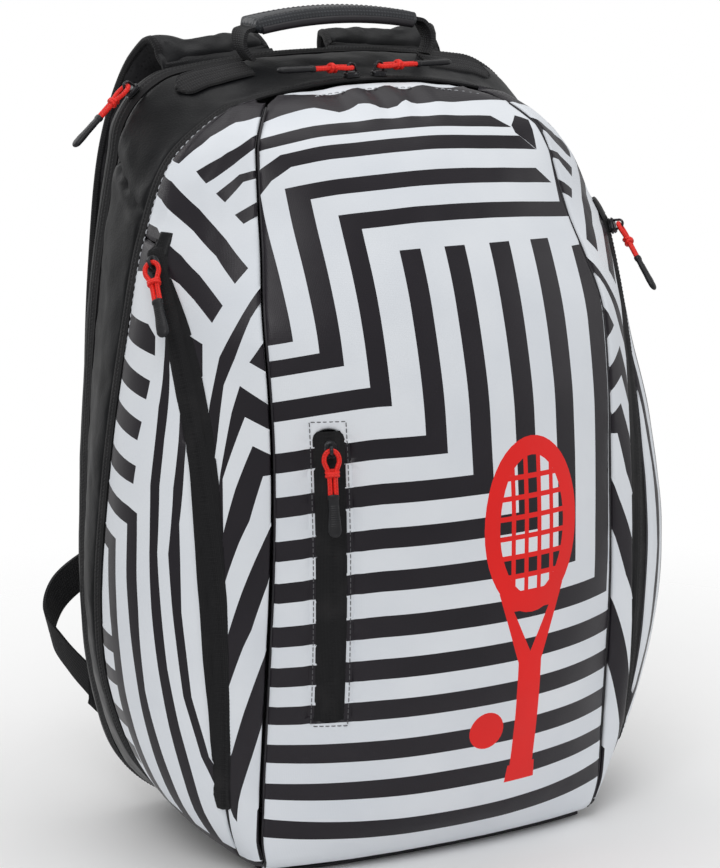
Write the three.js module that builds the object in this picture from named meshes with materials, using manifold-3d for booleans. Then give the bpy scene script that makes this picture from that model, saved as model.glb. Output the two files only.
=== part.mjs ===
// Racket backpack as an assembly of sewn panels, zips, straps and hardware.
// Millimetres, +Z up. The origin is on the floor under the middle of the base.
// -Y is the domed front panel, +Y the wearer's side, +X the right side seen from the front.
import * as THREE from 'three';
import { mergeVertices } from 'three/addons/utils/BufferGeometryUtils.js';
import Module from 'manifold-3d';

const wasm = await Module();
wasm.setup();

// ---------- driving dimensions ----------
const BORDER_Y = 17;            // plane where the domed front meets the main zip
const ZIP_TAPE_END_Y = 26;      // rear edge of the main zip tape
const SHELL_END_Y = 73;         // rear edge of the black shell, front edge of the rear zip tape
const REAR_Y = 85;              // widest plane of the back edge
const BACK_Y = 96;              // outside face of the back panel
const TOP_ARC_R = 330;          // radius of the shallow arch the main zip follows over the top
const TOP_ARC_Z = 122;          // height of that arch's centre
const CORNER_R = 50;            // radius of the rear shell's upper corners
const CORNER_X = 87;            // their centres
const CORNER_Z = 408;
const FABRIC = 1.8;             // coated fabric with its foam
const TAPE = 1.2;               // zip tape
const SEAM = 2.4;               // distance from a seam line to the edge of each panel it joins
const GAP = 0.5;                // clearance between neighbouring solids
const SEAM_TOP_X = 64;          // where the front seams run into the main zip
const BASE_HALF = 109;          // half width of the base panel
const STRAP_AXIS_Y = 101;       // hinge line of the shoulder straps
const STRAP_AXIS_Z = 451;
const HANDLE_Y = 57;            // hinge line of the haul handle
const HANDLE_Z = 464;
const WEBBING = 25;             // width of the lower webbing

// ---------- small helpers ----------
const v3 = (x, y, z) => new THREE.Vector3(x, y, z);
const lerp = THREE.MathUtils.lerp;
const deg = THREE.MathUtils.degToRad;

/** Smooth monotone curve through (t, value) pairs, flat outside them. */
function profile(points) {
  const n = points.length;
  const rise = [];
  for (let i = 0; i < n - 1; i++) {
    rise.push((points[i + 1][1] - points[i][1]) / (points[i + 1][0] - points[i][0]));
  }
  const slope = points.map((_, i) => {
    if (i === 0) return rise[0];
    if (i === n - 1) return rise[n - 2];
    const product = rise[i - 1] * rise[i];
    return product <= 0 ? 0 : (2 * product) / (rise[i - 1] + rise[i]);
  });
  return (t) => {
    const at = THREE.MathUtils.clamp(t, points[0][0], points[n - 1][0]);
    let i = 0;
    while (i < n - 2 && at > points[i + 1][0]) i++;
    const h = points[i + 1][0] - points[i][0];
    const s = (at - points[i][0]) / h;
    const [a, b] = [points[i][1], points[i + 1][1]];
    return a * (2 * s ** 3 - 3 * s ** 2 + 1) + slope[i] * h * (s ** 3 - 2 * s ** 2 + s)
      + b * (3 * s ** 2 - 2 * s ** 3) + slope[i + 1] * h * (s ** 3 - s ** 2);
  };
}

/** Six times the signed volume of a closed indexed geometry. */
function signedVolume(geometry) {
  const p = geometry.attributes.position;
  const index = geometry.index.array;
  const [a, b, c] = [v3(), v3(), v3()];
  let total = 0;
  for (let i = 0; i < index.length; i += 3) {
    a.fromBufferAttribute(p, index[i]);
    b.fromBufferAttribute(p, index[i + 1]);
    c.fromBufferAttribute(p, index[i + 2]);
    total += a.dot(b.cross(c));
  }
  return total;
}

/** Reverses every triangle if the faces point inwards. */
function facingOut(geometry) {
  if (signedVolume(geometry) < 0) {
    const index = geometry.index.array;
    for (let i = 0; i < index.length; i += 3) {
      [index[i], index[i + 1]] = [index[i + 1], index[i]];
    }
  }
  return geometry;
}

/** The same geometry with shared vertices merged, ready for bending or a boolean. */
function welded(geometry) {
  const bare = geometry.clone();
  bare.deleteAttribute('normal');
  bare.deleteAttribute('uv');
  return mergeVertices(bare, 1e-4);
}

/** A segmented unit box whose corners (u, v, w), each 0 to 1, go where place() says. */
function bentBox(nu, nv, nw, place) {
  const geometry = welded(new THREE.BoxGeometry(1, 1, 1, nu, nv, nw));
  const p = geometry.attributes.position;
  for (let i = 0; i < p.count; i++) {
    const target = place(p.getX(i) + 0.5, p.getY(i) + 0.5, p.getZ(i) + 0.5);
    p.setXYZ(i, target.x, target.y, target.z);
  }
  return facingOut(geometry);
}

/** Outward normal of surface(u, v), whose du x dv points out. */
function normalOf(surface, u, v) {
  const e = 0.002;
  const along = surface(Math.min(u + e, 1), v).sub(surface(Math.max(u - e, 0), v));
  const up = surface(u, Math.min(v + e, 1)).sub(surface(u, Math.max(v - e, 0)));
  return along.cross(up).normalize();
}

/** A closed sheet whose outer face is surface(u, v). */
function sheet(surface, nu, nv, thickness) {
  return bentBox(nu, nv, 1, (u, v, w) => {
    const normal = normalOf(surface, u, v);
    return surface(u, v).addScaledVector(normal, -thickness * (1 - w));
  });
}

/** The mirror image across the plane X = 0. */
function mirrored(geometry) {
  return facingOut(geometry.clone().scale(-1, 1, 1));
}

/** Boolean of two closed geometries: operation is 'add', 'subtract' or 'intersect'. */
function boolean(operation, first, second) {
  const solid = (geometry) => {
    const g = welded(geometry);
    const mesh = new wasm.Mesh({
      numProp: 3,
      vertProperties: new Float32Array(g.attributes.position.array),
      triVerts: new Uint32Array(g.index.array),
    });
    return new wasm.Manifold(mesh);
  };
  const result = solid(first)[operation](solid(second)).getMesh();
  const geometry = new THREE.BufferGeometry();
  geometry.setAttribute('position', new THREE.BufferAttribute(result.vertProperties, 3));
  geometry.setIndex(new THREE.BufferAttribute(result.triVerts, 1));
  return geometry;
}

/** A rounded rectangle centred on (0, 0). */
function roundedRect(width, height, radius) {
  const [x, y] = [width / 2, height / 2];
  const shape = new THREE.Shape();
  shape.moveTo(-x + radius, -y);
  shape.lineTo(x - radius, -y);
  shape.absarc(x - radius, -y + radius, radius, -Math.PI / 2, 0);
  shape.lineTo(x, y - radius);
  shape.absarc(x - radius, y - radius, radius, 0, Math.PI / 2);
  shape.lineTo(-x + radius, y);
  shape.absarc(-x + radius, y - radius, radius, Math.PI / 2, Math.PI);
  shape.lineTo(-x, -y + radius);
  shape.absarc(-x + radius, -y + radius, radius, Math.PI, Math.PI * 1.5);
  return shape;
}

// ---------- outlines of the bag ----------
/** Half outlines in (x, z), from the middle of the base up to the middle of the top. */
const topArc = (x) => [x, TOP_ARC_Z + Math.sqrt(TOP_ARC_R ** 2 - x ** 2)];
const corner = (angle) => [
  CORNER_X + CORNER_R * Math.cos(deg(angle)),
  CORNER_Z + CORNER_R * Math.sin(deg(angle)),
];
const BORDER_HALF = [
  [0, 0], [70, 0], [112, 14], [150, 48], [172, 100], [177, 150], [170, 235], [157, 315],
  [145, 370], [127, 412], topArc(90), topArc(80), topArc(60), topArc(30), topArc(0),
];
const REAR_HALF = [
  [0, 0], [70, 0], [112, 12], [140, 38], [156, 90], [161, 160], [157, 250], [149, 340],
  corner(0), corner(22), corner(45), corner(68), corner(90), [40, 463], [0, 464],
];

/** A closed outline that is symmetric about X = 0. */
class Outline {
  constructor(half) {
    const right = half.map(([x, z]) => v3(x, 0, z));
    const left = half.slice(1, -1).reverse().map(([x, z]) => v3(-x, 0, z));
    this.curve = new THREE.CatmullRomCurve3([...right, ...left], true, 'centripetal');
    this.curve.arcLengthDivisions = 800;
    this.baseShare = this.shareWhere((p) => p.x >= 112);
  }

  /** Smallest arc-length share on the right half at which test(point) holds. */
  shareWhere(test) {
    let [low, high] = [0, 0.5];
    for (let i = 0; i < 30; i++) {
      const middle = (low + high) / 2;
      if (test(this.curve.getPointAt(middle))) high = middle;
      else low = middle;
    }
    return high;
  }

  /** Point of the arch: k runs 0 to 1 from the left base corner over the top to the right one. */
  arch(k) {
    return this.curve.getPointAt(1 - this.baseShare - k * (1 - 2 * this.baseShare));
  }

  /** Unit outward direction in the outline's plane at arch share k. */
  outward(k) {
    const t = this.arch(Math.min(k + 0.002, 1)).sub(this.arch(Math.max(k - 0.002, 0)));
    return v3(-t.z, 0, t.x).normalize();
  }

  /** Half width at height z. */
  halfWidth(z) {
    return this.curve.getPointAt(this.shareWhere((p) => p.z >= z)).x;
  }

  /** The closed outline as a Shape in (x, z), drawn in by inset. */
  shape(inset, steps) {
    const points = [];
    for (let i = 0; i < steps; i++) {
      const s = i / steps;
      const p = this.curve.getPointAt(s);
      const t = this.curve.getTangentAt(s);
      points.push(new THREE.Vector2(p.x - t.z * inset, p.z + t.x * inset));
    }
    return new THREE.Shape(points);
  }
}
const border = new Outline(BORDER_HALF);
const rear = new Outline(REAR_HALF);

// Front seam (distance from the middle, depth) and the crown of the dome, by height.
const seamX = profile([[0, 110], [30, 116], [127, 115], [250, 112], [315, 112], [378, 101],
  [419, 95], [438, 80], [446, SEAM_TOP_X]]);
const seamY = profile([[0, -52], [12, -66], [65, -71], [190, -80], [252, -79], [315, -71],
  [350, -57], [380, -42], [420, -26], [438, -5], [446, BORDER_Y]]);
const crownY = profile([[0, -58], [10, -78], [40, -95], [130, -109], [200, -110], [270, -104],
  [330, -88], [380, -65], [420, -37], [440, -13], [452, BORDER_Y]]);

// ---------- zip tracks: each is an arc, so a slider's path is a hinge about the arc's centre ----
/** pivot and axis of the arc, the slider's rest point on it, and the tape's lean about the path. */
class Track {
  constructor(pivot, axis, rest, lean) {
    this.pivot = pivot;
    this.axis = axis.clone().normalize();
    this.rest = rest;
    const radial = rest.clone().sub(pivot);
    radial.addScaledVector(this.axis, -radial.dot(this.axis)).normalize();
    this.out = radial.multiplyScalar(Math.cos(deg(lean)))
      .addScaledVector(this.axis, Math.sin(deg(lean)));
    this.along = this.axis.clone().cross(rest.clone().sub(pivot)).normalize();
    this.across = this.out.clone().cross(this.along);
  }

  /** Point at an arc angle, moved across the tape and out of it. */
  point(angle, across = 0, out = 0) {
    return this.rest.clone().sub(this.pivot)
      .addScaledVector(this.across, across)
      .addScaledVector(this.out, out)
      .applyAxisAngle(this.axis, deg(angle))
      .add(this.pivot);
  }

  /** A tape of that width between two arc angles. */
  tape(from, to, width, steps) {
    return bentBox(steps, 1, 1, (u, v, w) =>
      this.point(lerp(from, to, u), (v - 0.5) * width, -TAPE * (1 - w)));
  }
}

const SIDE_ZIP = { y: 381, z: 135, r: 450, x: 143, lean: 42, width: 15, top: 357, bottom: 60 };
const SIDE_ZIP_SLOPE = 0.052;   // how far the zip moves outwards for each millimetre up
/** Arc angle of the side zip between its top and height z. */
const sideZipAngle = (z) => THREE.MathUtils.radToDeg(
  Math.asin((SIDE_ZIP.top - SIDE_ZIP.z) / SIDE_ZIP.r) - Math.asin((z - SIDE_ZIP.z) / SIDE_ZIP.r));
function sideZipRest() {
  const y = SIDE_ZIP.y - Math.sqrt(SIDE_ZIP.r ** 2 - (SIDE_ZIP.top - SIDE_ZIP.z) ** 2);
  return v3(SIDE_ZIP.x + SIDE_ZIP_SLOPE * (SIDE_ZIP.top - 200), y, SIDE_ZIP.top);
}
const sidePivotX = SIDE_ZIP.x + SIDE_ZIP_SLOPE * (SIDE_ZIP.z - 200);
const sideTrack = new Track(v3(sidePivotX, SIDE_ZIP.y, SIDE_ZIP.z),
  v3(1, 0, -SIDE_ZIP_SLOPE), sideZipRest(), SIDE_ZIP.lean);

const POCKET_ZIP = { x: -83, y: 774, z: 186, r: 869.8, top: 260, bottom: 106, width: 18, lean: -21.6 };
const pocketAngle = (z) => THREE.MathUtils.radToDeg(Math.asin((z - POCKET_ZIP.z) / POCKET_ZIP.r));
const pocketTrack = new Track(v3(POCKET_ZIP.x, POCKET_ZIP.y, POCKET_ZIP.z), v3(1, 0, 0),
  v3(POCKET_ZIP.x, POCKET_ZIP.y - Math.sqrt(POCKET_ZIP.r ** 2 - (POCKET_ZIP.top - POCKET_ZIP.z) ** 2),
    POCKET_ZIP.top), POCKET_ZIP.lean);

const MAIN_SLIDER_X = 9;
const mainZipY = (BORDER_Y + ZIP_TAPE_END_Y) / 2;
/** side is -1 for the left slider and 1 for the right one. */
const mainTrack = (side) => new Track(v3(0, mainZipY, TOP_ARC_Z), v3(0, side, 0),
  v3(side * MAIN_SLIDER_X, mainZipY, TOP_ARC_Z + Math.sqrt(TOP_ARC_R ** 2 - MAIN_SLIDER_X ** 2)), 0);

const rearZipY = (SHELL_END_Y + REAR_Y) / 2;
const REAR_SLIDER_ANGLE = 45;   // where on the upper left corner the rear slider rests
const rearTrack = new Track(v3(-CORNER_X, rearZipY, CORNER_Z), v3(0, 1, 0),
  v3(-CORNER_X - CORNER_R * Math.cos(deg(REAR_SLIDER_ANGLE)), rearZipY,
    CORNER_Z + CORNER_R * Math.sin(deg(REAR_SLIDER_ANGLE))), 0);

// ---------- surfaces of the bag ----------
function frontSurface(u, v) {
  const across = 2 * u - 1;
  const top = topArc(across * SEAM_TOP_X)[1] - SEAM * 0.5;
  const z = lerp(4, top, v);
  const edge = seamX(z) - SEAM;
  const y = lerp(crownY(z), seamY(z), Math.abs(across) ** 2.4);
  return v3(across * edge, Math.min(y, BORDER_Y - 1.5), z);
}

/** Point on the right side zip's path at height z, moved across it; below the zip it runs to the base. */
function sideZipEdge(z, across) {
  if (z >= SIDE_ZIP.bottom) return sideTrack.point(sideZipAngle(z), across);
  const end = sideTrack.point(sideZipAngle(SIDE_ZIP.bottom), across);
  const foot = v3(BASE_HALF + 4, -42 + across, 5);
  const control = v3(lerp(foot.x, end.x, 0.8), lerp(foot.y, end.y, 0.6), 22);
  const share = (z - foot.z) / (SIDE_ZIP.bottom - foot.z);
  return new THREE.QuadraticBezierCurve3(foot, control, end).getPoint(share);
}
const ZIP_HALF = SIDE_ZIP.width / 2 + 3 * GAP;
const sideBulge = profile([[0, 3], [60, 14], [170, 21], [240, 16], [296, 9], [350, 3], [372, 1]]);
const SIDE_TOP = 372;           // the pocket panel ends here, above the zip

const seamPoint = (z) => v3(seamX(z) + 0.8, seamY(z) + SEAM, z);
function borderPoint(z) {
  const height = Math.max(z, 15);
  return v3(border.halfWidth(height), BORDER_Y - GAP, height);
}

/** Right front gusset: from the front seam back to the side zip. */
function gussetSurface(u, v) {
  const z = lerp(6, SIDE_TOP - 1, v);
  const a = seamPoint(z);
  const b = sideZipEdge(z, -ZIP_HALF);
  const bulge = v3(2, -2.5, 0).multiplyScalar(4 * u * (1 - u));
  return a.lerp(b, u).add(bulge);
}

/** The same gusset above the side zip, where it reaches from the front seam to the main zip. */
function shoulderSurface(u, v) {
  const z = lerp(SIDE_TOP - 1.5, 441, v);
  const a = seamPoint(z);
  const b = borderPoint(z);
  const out = profile([[SIDE_TOP, 11], [400, 8], [425, 4], [441, 1]])(z);
  const bulge = v3(0.85, -0.5, 0.15).multiplyScalar(out * Math.sin(Math.PI * u ** 1.5));
  return a.lerp(b, u).add(bulge);
}

/** Right side pocket: from the side zip back to the main zip. */
function pocketSurface(u, v) {
  const z = lerp(7, SIDE_TOP - 3, v);
  const a = sideZipEdge(z, ZIP_HALF);
  const b = borderPoint(z);
  const bulge = v3(0.85, -0.52, 0).multiplyScalar(sideBulge(z) * 4 * u * (1 - u));
  return a.lerp(b, u).add(bulge);
}

/** The black shell behind the main zip, by arch share and depth. */
function shellPoint(k, y) {
  const t = THREE.MathUtils.smoothstep(y, ZIP_TAPE_END_Y, REAR_Y);
  const p = border.arch(k).lerp(rear.arch(k), t);
  return v3(p.x, y, p.z);
}
const shellSurface = (u, v) => shellPoint(u, lerp(ZIP_TAPE_END_Y + GAP, SHELL_END_Y - GAP, v));
const mainZipSurface = (u, v) => shellPoint(u, lerp(BORDER_Y + GAP, ZIP_TAPE_END_Y, v));
const rearZipSurface = (u, v) => shellPoint(u, lerp(SHELL_END_Y, REAR_Y - 1, v));

/** The rounded edge between the rear zip and the flat back. */
function backEdgeSurface(u, v) {
  const angle = v * Math.PI / 2;
  const y = lerp(REAR_Y - 0.5, BACK_Y - 1, Math.sin(angle));
  const inset = 9 * (1 - Math.cos(angle));
  const p = rear.arch(u).addScaledVector(rear.outward(u), -inset);
  return v3(p.x, y, p.z);
}

/** The base: flat on the floor in the middle, rising to the side panels. */
function baseSurface(u, v) {
  const across = 2 * v - 1;
  const front = lerp(crownY(4), seamY(4), Math.abs(across) ** 2.4) + SEAM;
  const y = lerp(front, REAR_Y + 5, u);
  const x = across * BASE_HALF;
  const rise = THREE.MathUtils.smoothstep(Math.abs(x), 72, 130) * 20;
  return v3(x, y, rise * THREE.MathUtils.smoothstep(y, -60, 20));
}

// ---------- materials ----------
const finish = (color, roughness, metalness = 0) =>
  new THREE.MeshStandardMaterial({ color, roughness, metalness });
const LOOK = {
  striped: finish(0xe6e8ee, 0.5),
  shell: finish(0x2c2b30, 0.45),
  mesh: finish(0x17171a, 0.9),
  tape: finish(0x111113, 0.8),
  webbing: finish(0x141416, 0.85),
  plastic: finish(0x19191c, 0.4),
  metal: finish(0x2a2a2d, 0.35, 0.8),
  cord: finish(0xe8342a, 0.55),
  lining: finish(0x3a3b40, 0.8),
  board: finish(0x55565a, 0.6),
};

const bag = new THREE.Group();
function add(name, geometry, material, parent = bag) {
  const mesh = new THREE.Mesh(geometry, material);
  mesh.name = name;
  parent.add(mesh);
  return mesh;
}
/** Adds right_NAME and its mirror image left_NAME. */
function addPair(name, geometry, material) {
  add(`right_${name}`, geometry, material);
  add(`left_${name}`, mirrored(geometry), material);
}

// ---------- outer panels ----------
const ARCH_STEPS = 40;
/** A slot through the front panel for the pocket zip, a little larger than its tape. */
function pocketSlot() {
  const [from, to] = [pocketAngle(POCKET_ZIP.top + 9.5), pocketAngle(POCKET_ZIP.bottom - 4.5)];
  const rest = pocketAngle(POCKET_ZIP.top);
  const half = POCKET_ZIP.width / 2 + GAP;
  return bentBox(6, 1, 1, (u, v, w) => pocketTrack.point(
    rest - lerp(from, to, u), lerp(-half, half, v), lerp(-14, 14, w)));
}
add('front_panel', boolean('subtract', sheet(frontSurface, 14, 18, FABRIC), pocketSlot()),
  LOOK.striped);
addPair('front_gusset', boolean('add', sheet(gussetSurface, 3, 14, FABRIC),
  sheet(shoulderSurface, 5, 5, FABRIC)), LOOK.striped);
addPair('side_pocket', sheet(pocketSurface, 5, 14, FABRIC), LOOK.striped);
add('rear_shell', sheet(shellSurface, ARCH_STEPS, 3, FABRIC), LOOK.shell);
add('back_edge', sheet(backEdgeSurface, ARCH_STEPS, 2, FABRIC), LOOK.shell);
add('base_panel', sheet(baseSurface, 5, 12, FABRIC), LOOK.shell);

// ---------- zips ----------
add('main_zip', sheet(mainZipSurface, ARCH_STEPS, 1, TAPE), LOOK.tape);
add('rear_zip', sheet(rearZipSurface, ARCH_STEPS, 1, TAPE), LOOK.tape);
addPair('side_zip', sideTrack.tape(-1.2, sideZipAngle(SIDE_ZIP.bottom) + 0.5, SIDE_ZIP.width, 13),
  LOOK.tape);
const pocketTravel = pocketAngle(POCKET_ZIP.top) - pocketAngle(POCKET_ZIP.bottom);
add('front_pocket_zip', pocketTrack.tape(-0.55, pocketTravel + 0.25, POCKET_ZIP.width, 6), LOOK.tape);

// ---------- back, lining and stiffeners ----------
/** An upright plate in the XZ plane between two depths. */
function plate(shape, yFront, yBack, bevel = 0) {
  const geometry = new THREE.ExtrudeGeometry(shape, {
    depth: yBack - yFront - 2 * bevel,
    bevelEnabled: bevel > 0,
    bevelThickness: bevel,
    bevelSize: bevel,
    bevelOffset: -bevel,
    bevelSegments: 1,
    curveSegments: 4,
  });
  geometry.rotateX(Math.PI / 2).translate(0, yBack - bevel, 0);
  return facingOut(welded(geometry));
}
const movedShape = (shape, x, z) =>
  new THREE.Shape(shape.getPoints(3).map((p) => new THREE.Vector2(p.x + x, p.y + z)));

add('back_panel', plate(rear.shape(11.5, 40), BACK_Y - 4, BACK_Y), LOOK.mesh);
add('frame_sheet', plate(rear.shape(24, 32), 86, 88), LOOK.board);
add('racket_divider', plate(border.shape(9, 40), 27.5, 29.5), LOOK.lining);
add('laptop_sleeve', plate(movedShape(roundedRect(220, 290, 18), 0, 175), 80, 82), LOOK.lining);
const PAD_TOP = 408;
const padShape = movedShape(roundedRect(88, 228, 26), 60, PAD_TOP - 114);
const PAD_FACE_Y = 109;
addPair('back_pad', plate(padShape, BACK_Y + GAP, PAD_FACE_Y, 4), LOOK.mesh);
add('lumbar_pad', plate(movedShape(roundedRect(220, 92, 30), 0, 116), BACK_Y + GAP, PAD_FACE_Y + 3, 4),
  LOOK.mesh);
const baseBoard = new THREE.ExtrudeGeometry(roundedRect(132, 118, 14), {
  depth: 2.5, bevelEnabled: false, curveSegments: 3,
}).translate(0, 18, 3);
add('base_board', baseBoard, LOOK.board);
add('front_pocket_lining', bentBox(6, 6, 1, (u, v, w) => {
  const [across, share] = [lerp(0.06, 0.62, u), lerp(0.2, 0.64, v)];
  const normal = normalOf(frontSurface, across, share);
  return frontSurface(across, share).addScaledVector(normal, lerp(-9, -8, w));
}), LOOK.lining);

// ---------- haul handle ----------
const GRIP_HALF = 54;
const GRIP_Y = 67;              // the handle leans back a little
const GRIP_Z = 484.2;
const GRIP_RISE = 3.5;
const GRIP_THICKNESS = 8;
/** Arched grip with a rounded section, built across X. */
function gripGeometry() {
  const section = roundedRect(24, GRIP_THICKNESS, GRIP_THICKNESS / 2 - 0.1);
  const path = new THREE.QuadraticBezierCurve3(v3(-GRIP_HALF, GRIP_Y, GRIP_Z - GRIP_RISE),
    v3(0, GRIP_Y, GRIP_Z + 2 * GRIP_RISE), v3(GRIP_HALF, GRIP_Y, GRIP_Z - GRIP_RISE));
  return facingOut(welded(new THREE.ExtrudeGeometry(section, {
    extrudePath: path, steps: 7, curveSegments: 2,
  })));
}
add('handle_grip', gripGeometry(), LOOK.shell);

/** A flat strap along a path; side(u) is the direction of its width. */
function strap(path, width, thickness, steps, side) {
  return bentBox(steps, 1, 1, (u, v, w) => {
    const across = side(u).normalize();
    const normal = path.getTangentAt(u).cross(across).normalize();
    return path.getPointAt(u).addScaledVector(across, (v - 0.5) * width(u))
      .addScaledVector(normal, (w - 0.5) * thickness);
  });
}
const legPath = new THREE.CatmullRomCurve3([
  v3(61, HANDLE_Y, HANDLE_Z - 2), v3(62.5, HANDLE_Y + 3, 469), v3(61, GRIP_Y - 2, 476.5),
  v3(GRIP_HALF + 1.2, GRIP_Y, GRIP_Z - GRIP_RISE - 0.4),
]);
const legWidth = profile([[0, 5], [0.6, 22], [1, 22]]);
addPair('handle_leg', strap(legPath, legWidth, 2.4, 6, () => v3(0, 1, 0)), LOOK.webbing);

/** A textured patch on the shell under each end of the handle. */
const anchorPatch = (u, v) => {
  const k = lerp(0.552, 0.588, u);
  const p = shellPoint(k, lerp(HANDLE_Y - 9, HANDLE_Y + 9, v));
  return p.addScaledVector(border.outward(k), 2.3);
};
addPair('handle_anchor', sheet(anchorPatch, 4, 1, 1.5), LOOK.webbing);

// ---------- shoulder straps ----------
const strapPath = new THREE.CatmullRomCurve3([
  v3(57, STRAP_AXIS_Y + 4, STRAP_AXIS_Z + 8), v3(60, 119, 468), v3(66, 134, 452),
  v3(82, 141, 405), v3(96, 141, 330), v3(104, 137, 250), v3(109, 130, 184),
]);
const strapWidth = profile([[0, 76], [0.25, 74], [0.55, 64], [0.9, 58], [1, 46]]);
addPair('shoulder_strap', strap(strapPath, strapWidth, 13, 14, () => v3(1, 0, 0)), LOOK.mesh);

/** The stitched root of each strap on the back panel. */
const rootShape = movedShape(roundedRect(78, 26, 6), 57, 436);
addPair('strap_root', plate(rootShape, BACK_Y + GAP, BACK_Y + 6, 1.5), LOOK.shell);

/** Ladder buckle: a moulded frame with a cross bar. */
const BUCKLE = { x: 110.5, y: 127.5, z: 165, width: 34, height: 26, tilt: 8 };
function buckleGeometry() {
  const frame = roundedRect(BUCKLE.width, BUCKLE.height, 4);
  for (const offset of [-5, 5]) {
    const slot = [[-13.5, -2.5], [-13.5, 2.5], [13.5, 2.5], [13.5, -2.5]];
    frame.holes.push(new THREE.Path(slot.map(([x, y]) => new THREE.Vector2(x, y + offset))));
  }
  const geometry = new THREE.ExtrudeGeometry(frame, { depth: 4, bevelEnabled: false, curveSegments: 3 });
  geometry.rotateX(Math.PI / 2).rotateX(deg(BUCKLE.tilt));
  return facingOut(welded(geometry.translate(BUCKLE.x, BUCKLE.y + 2, BUCKLE.z)));
}
addPair('ladder_buckle', buckleGeometry(), LOOK.plastic);

// ---------- lower webbing and the tabs that hold it ----------
const TAB_ROOT = v3(145, 101, 78);
const webbingPath = new THREE.CatmullRomCurve3([
  TAB_ROOT.clone().add(v3(3.5, 3.5, 3)), v3(158, 114, 96), v3(165, 125, 113), v3(157, 131, 130),
  v3(137, 130, 145), v3(119, 125.5, 150.5),
]);
const webbingSide = (u) => v3(0.2, 0, 1).lerp(v3(0.35, -0.25, 0.9), u);
addPair('lower_webbing', strap(webbingPath, () => WEBBING, 2, 12, webbingSide), LOOK.webbing);

/** A three-sided tab sewn into the back edge, narrowing towards the webbing. */
function wingTab() {
  return bentBox(2, 1, 1, (u, v, w) => {
    const height = lerp(52, WEBBING, u);
    const x = lerp(136, TAB_ROOT.x, u);
    const y = lerp(BACK_Y + 1.5, TAB_ROOT.y, u);
    return v3(x + (w - 0.5) * 1.4, y + (0.5 - w) * 1.4, TAB_ROOT.z - 4 * (1 - u) + (v - 0.5) * height);
  });
}
addPair('wing_tab', wingTab(), LOOK.webbing);

// ---------- zip sliders and pullers ----------
const SLIDER = { length: 10, width: 8, height: 3.2, lift: 0.5, bailWidth: 2.2, hole: 1.7, holeOut: 6.4 };
const CORD_R = 1.1;
const CORD_HALF = 2.7;          // half the distance between the two legs of the cord
const CORD_LENGTH = 24;
const TIP = { length: 24, width: 7.5, thickness: 4 };

/** Slider body with its bail, in track coordinates: x along the path, z out of the tape. */
function sliderGeometry() {
  const body = new THREE.ExtrudeGeometry(roundedRect(SLIDER.length, SLIDER.width, 2), {
    depth: SLIDER.height, bevelEnabled: false, curveSegments: 2,
  }).translate(0, 0, SLIDER.lift);
  const side = new THREE.Shape();
  const foot = SLIDER.lift + SLIDER.height - 0.6;
  side.moveTo(-3.2, foot);
  side.lineTo(3.2, foot);
  side.lineTo(3.2, SLIDER.holeOut);
  side.absarc(0, SLIDER.holeOut, 3.2, 0, Math.PI);
  side.holes.push(new THREE.Path().absarc(0, SLIDER.holeOut, SLIDER.hole, 0, Math.PI * 2, true));
  const bail = new THREE.ExtrudeGeometry(side, {
    depth: SLIDER.bailWidth, bevelEnabled: false, curveSegments: 4,
  }).rotateX(Math.PI / 2).translate(0, SLIDER.bailWidth / 2, 0);
  return boolean('add', body, bail);
}

/** Cord through the bail: a straight crossing on the hinge line and two parallel legs along x. */
function cordGeometry() {
  const legs = new THREE.CurvePath();
  const bend = 1.4;
  legs.add(new THREE.LineCurve3(v3(CORD_LENGTH, -CORD_HALF, 0), v3(bend, -CORD_HALF, 0)));
  legs.add(new THREE.QuadraticBezierCurve3(v3(bend, -CORD_HALF, 0), v3(0, -CORD_HALF, 0),
    v3(0, -CORD_HALF + bend, 0)));
  legs.add(new THREE.LineCurve3(v3(0, -CORD_HALF + bend, 0), v3(0, CORD_HALF - bend, 0)));
  legs.add(new THREE.QuadraticBezierCurve3(v3(0, CORD_HALF - bend, 0), v3(0, CORD_HALF, 0),
    v3(bend, CORD_HALF, 0)));
  legs.add(new THREE.LineCurve3(v3(bend, CORD_HALF, 0), v3(CORD_LENGTH, CORD_HALF, 0)));
  const stations = legs.curves.flatMap((curve) => curve.getPoints(curve.isLineCurve3 ? 1 : 3));
  const path = new THREE.CatmullRomCurve3(stations.filter((p, i) =>
    i === 0 || p.distanceTo(stations[i - 1]) > 0.01), false, 'centripetal');
  // Stations fall on the control points, so the straight stretches stay straight.
  path.getPointAt = path.getPoint;
  path.getTangentAt = path.getTangent;
  const section = new THREE.Shape().absarc(0, 0, CORD_R, 0, Math.PI * 2);
  return facingOut(welded(new THREE.ExtrudeGeometry(section, {
    extrudePath: path, steps: path.points.length - 1, curveSegments: 3,
  })));
}

/** Moulded finger tip beyond the cord. */
function tipGeometry() {
  const half = TIP.width / 2;
  const shape = new THREE.Shape();
  const start = CORD_LENGTH + 0.4;
  const end = start + TIP.length;
  shape.moveTo(start, -half + 0.6);
  shape.lineTo(end - half, -half);
  shape.absarc(end - half, 0, half, -Math.PI / 2, Math.PI / 2);
  shape.lineTo(start, half - 0.6);
  const geometry = new THREE.ExtrudeGeometry(shape, {
    depth: TIP.thickness, bevelEnabled: false, curveSegments: 5,
  });
  return geometry.translate(0, 0, -TIP.thickness / 2);
}
const sliderShape = sliderGeometry();
const cordShape = cordGeometry();
const tipShape = tipGeometry();

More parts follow.
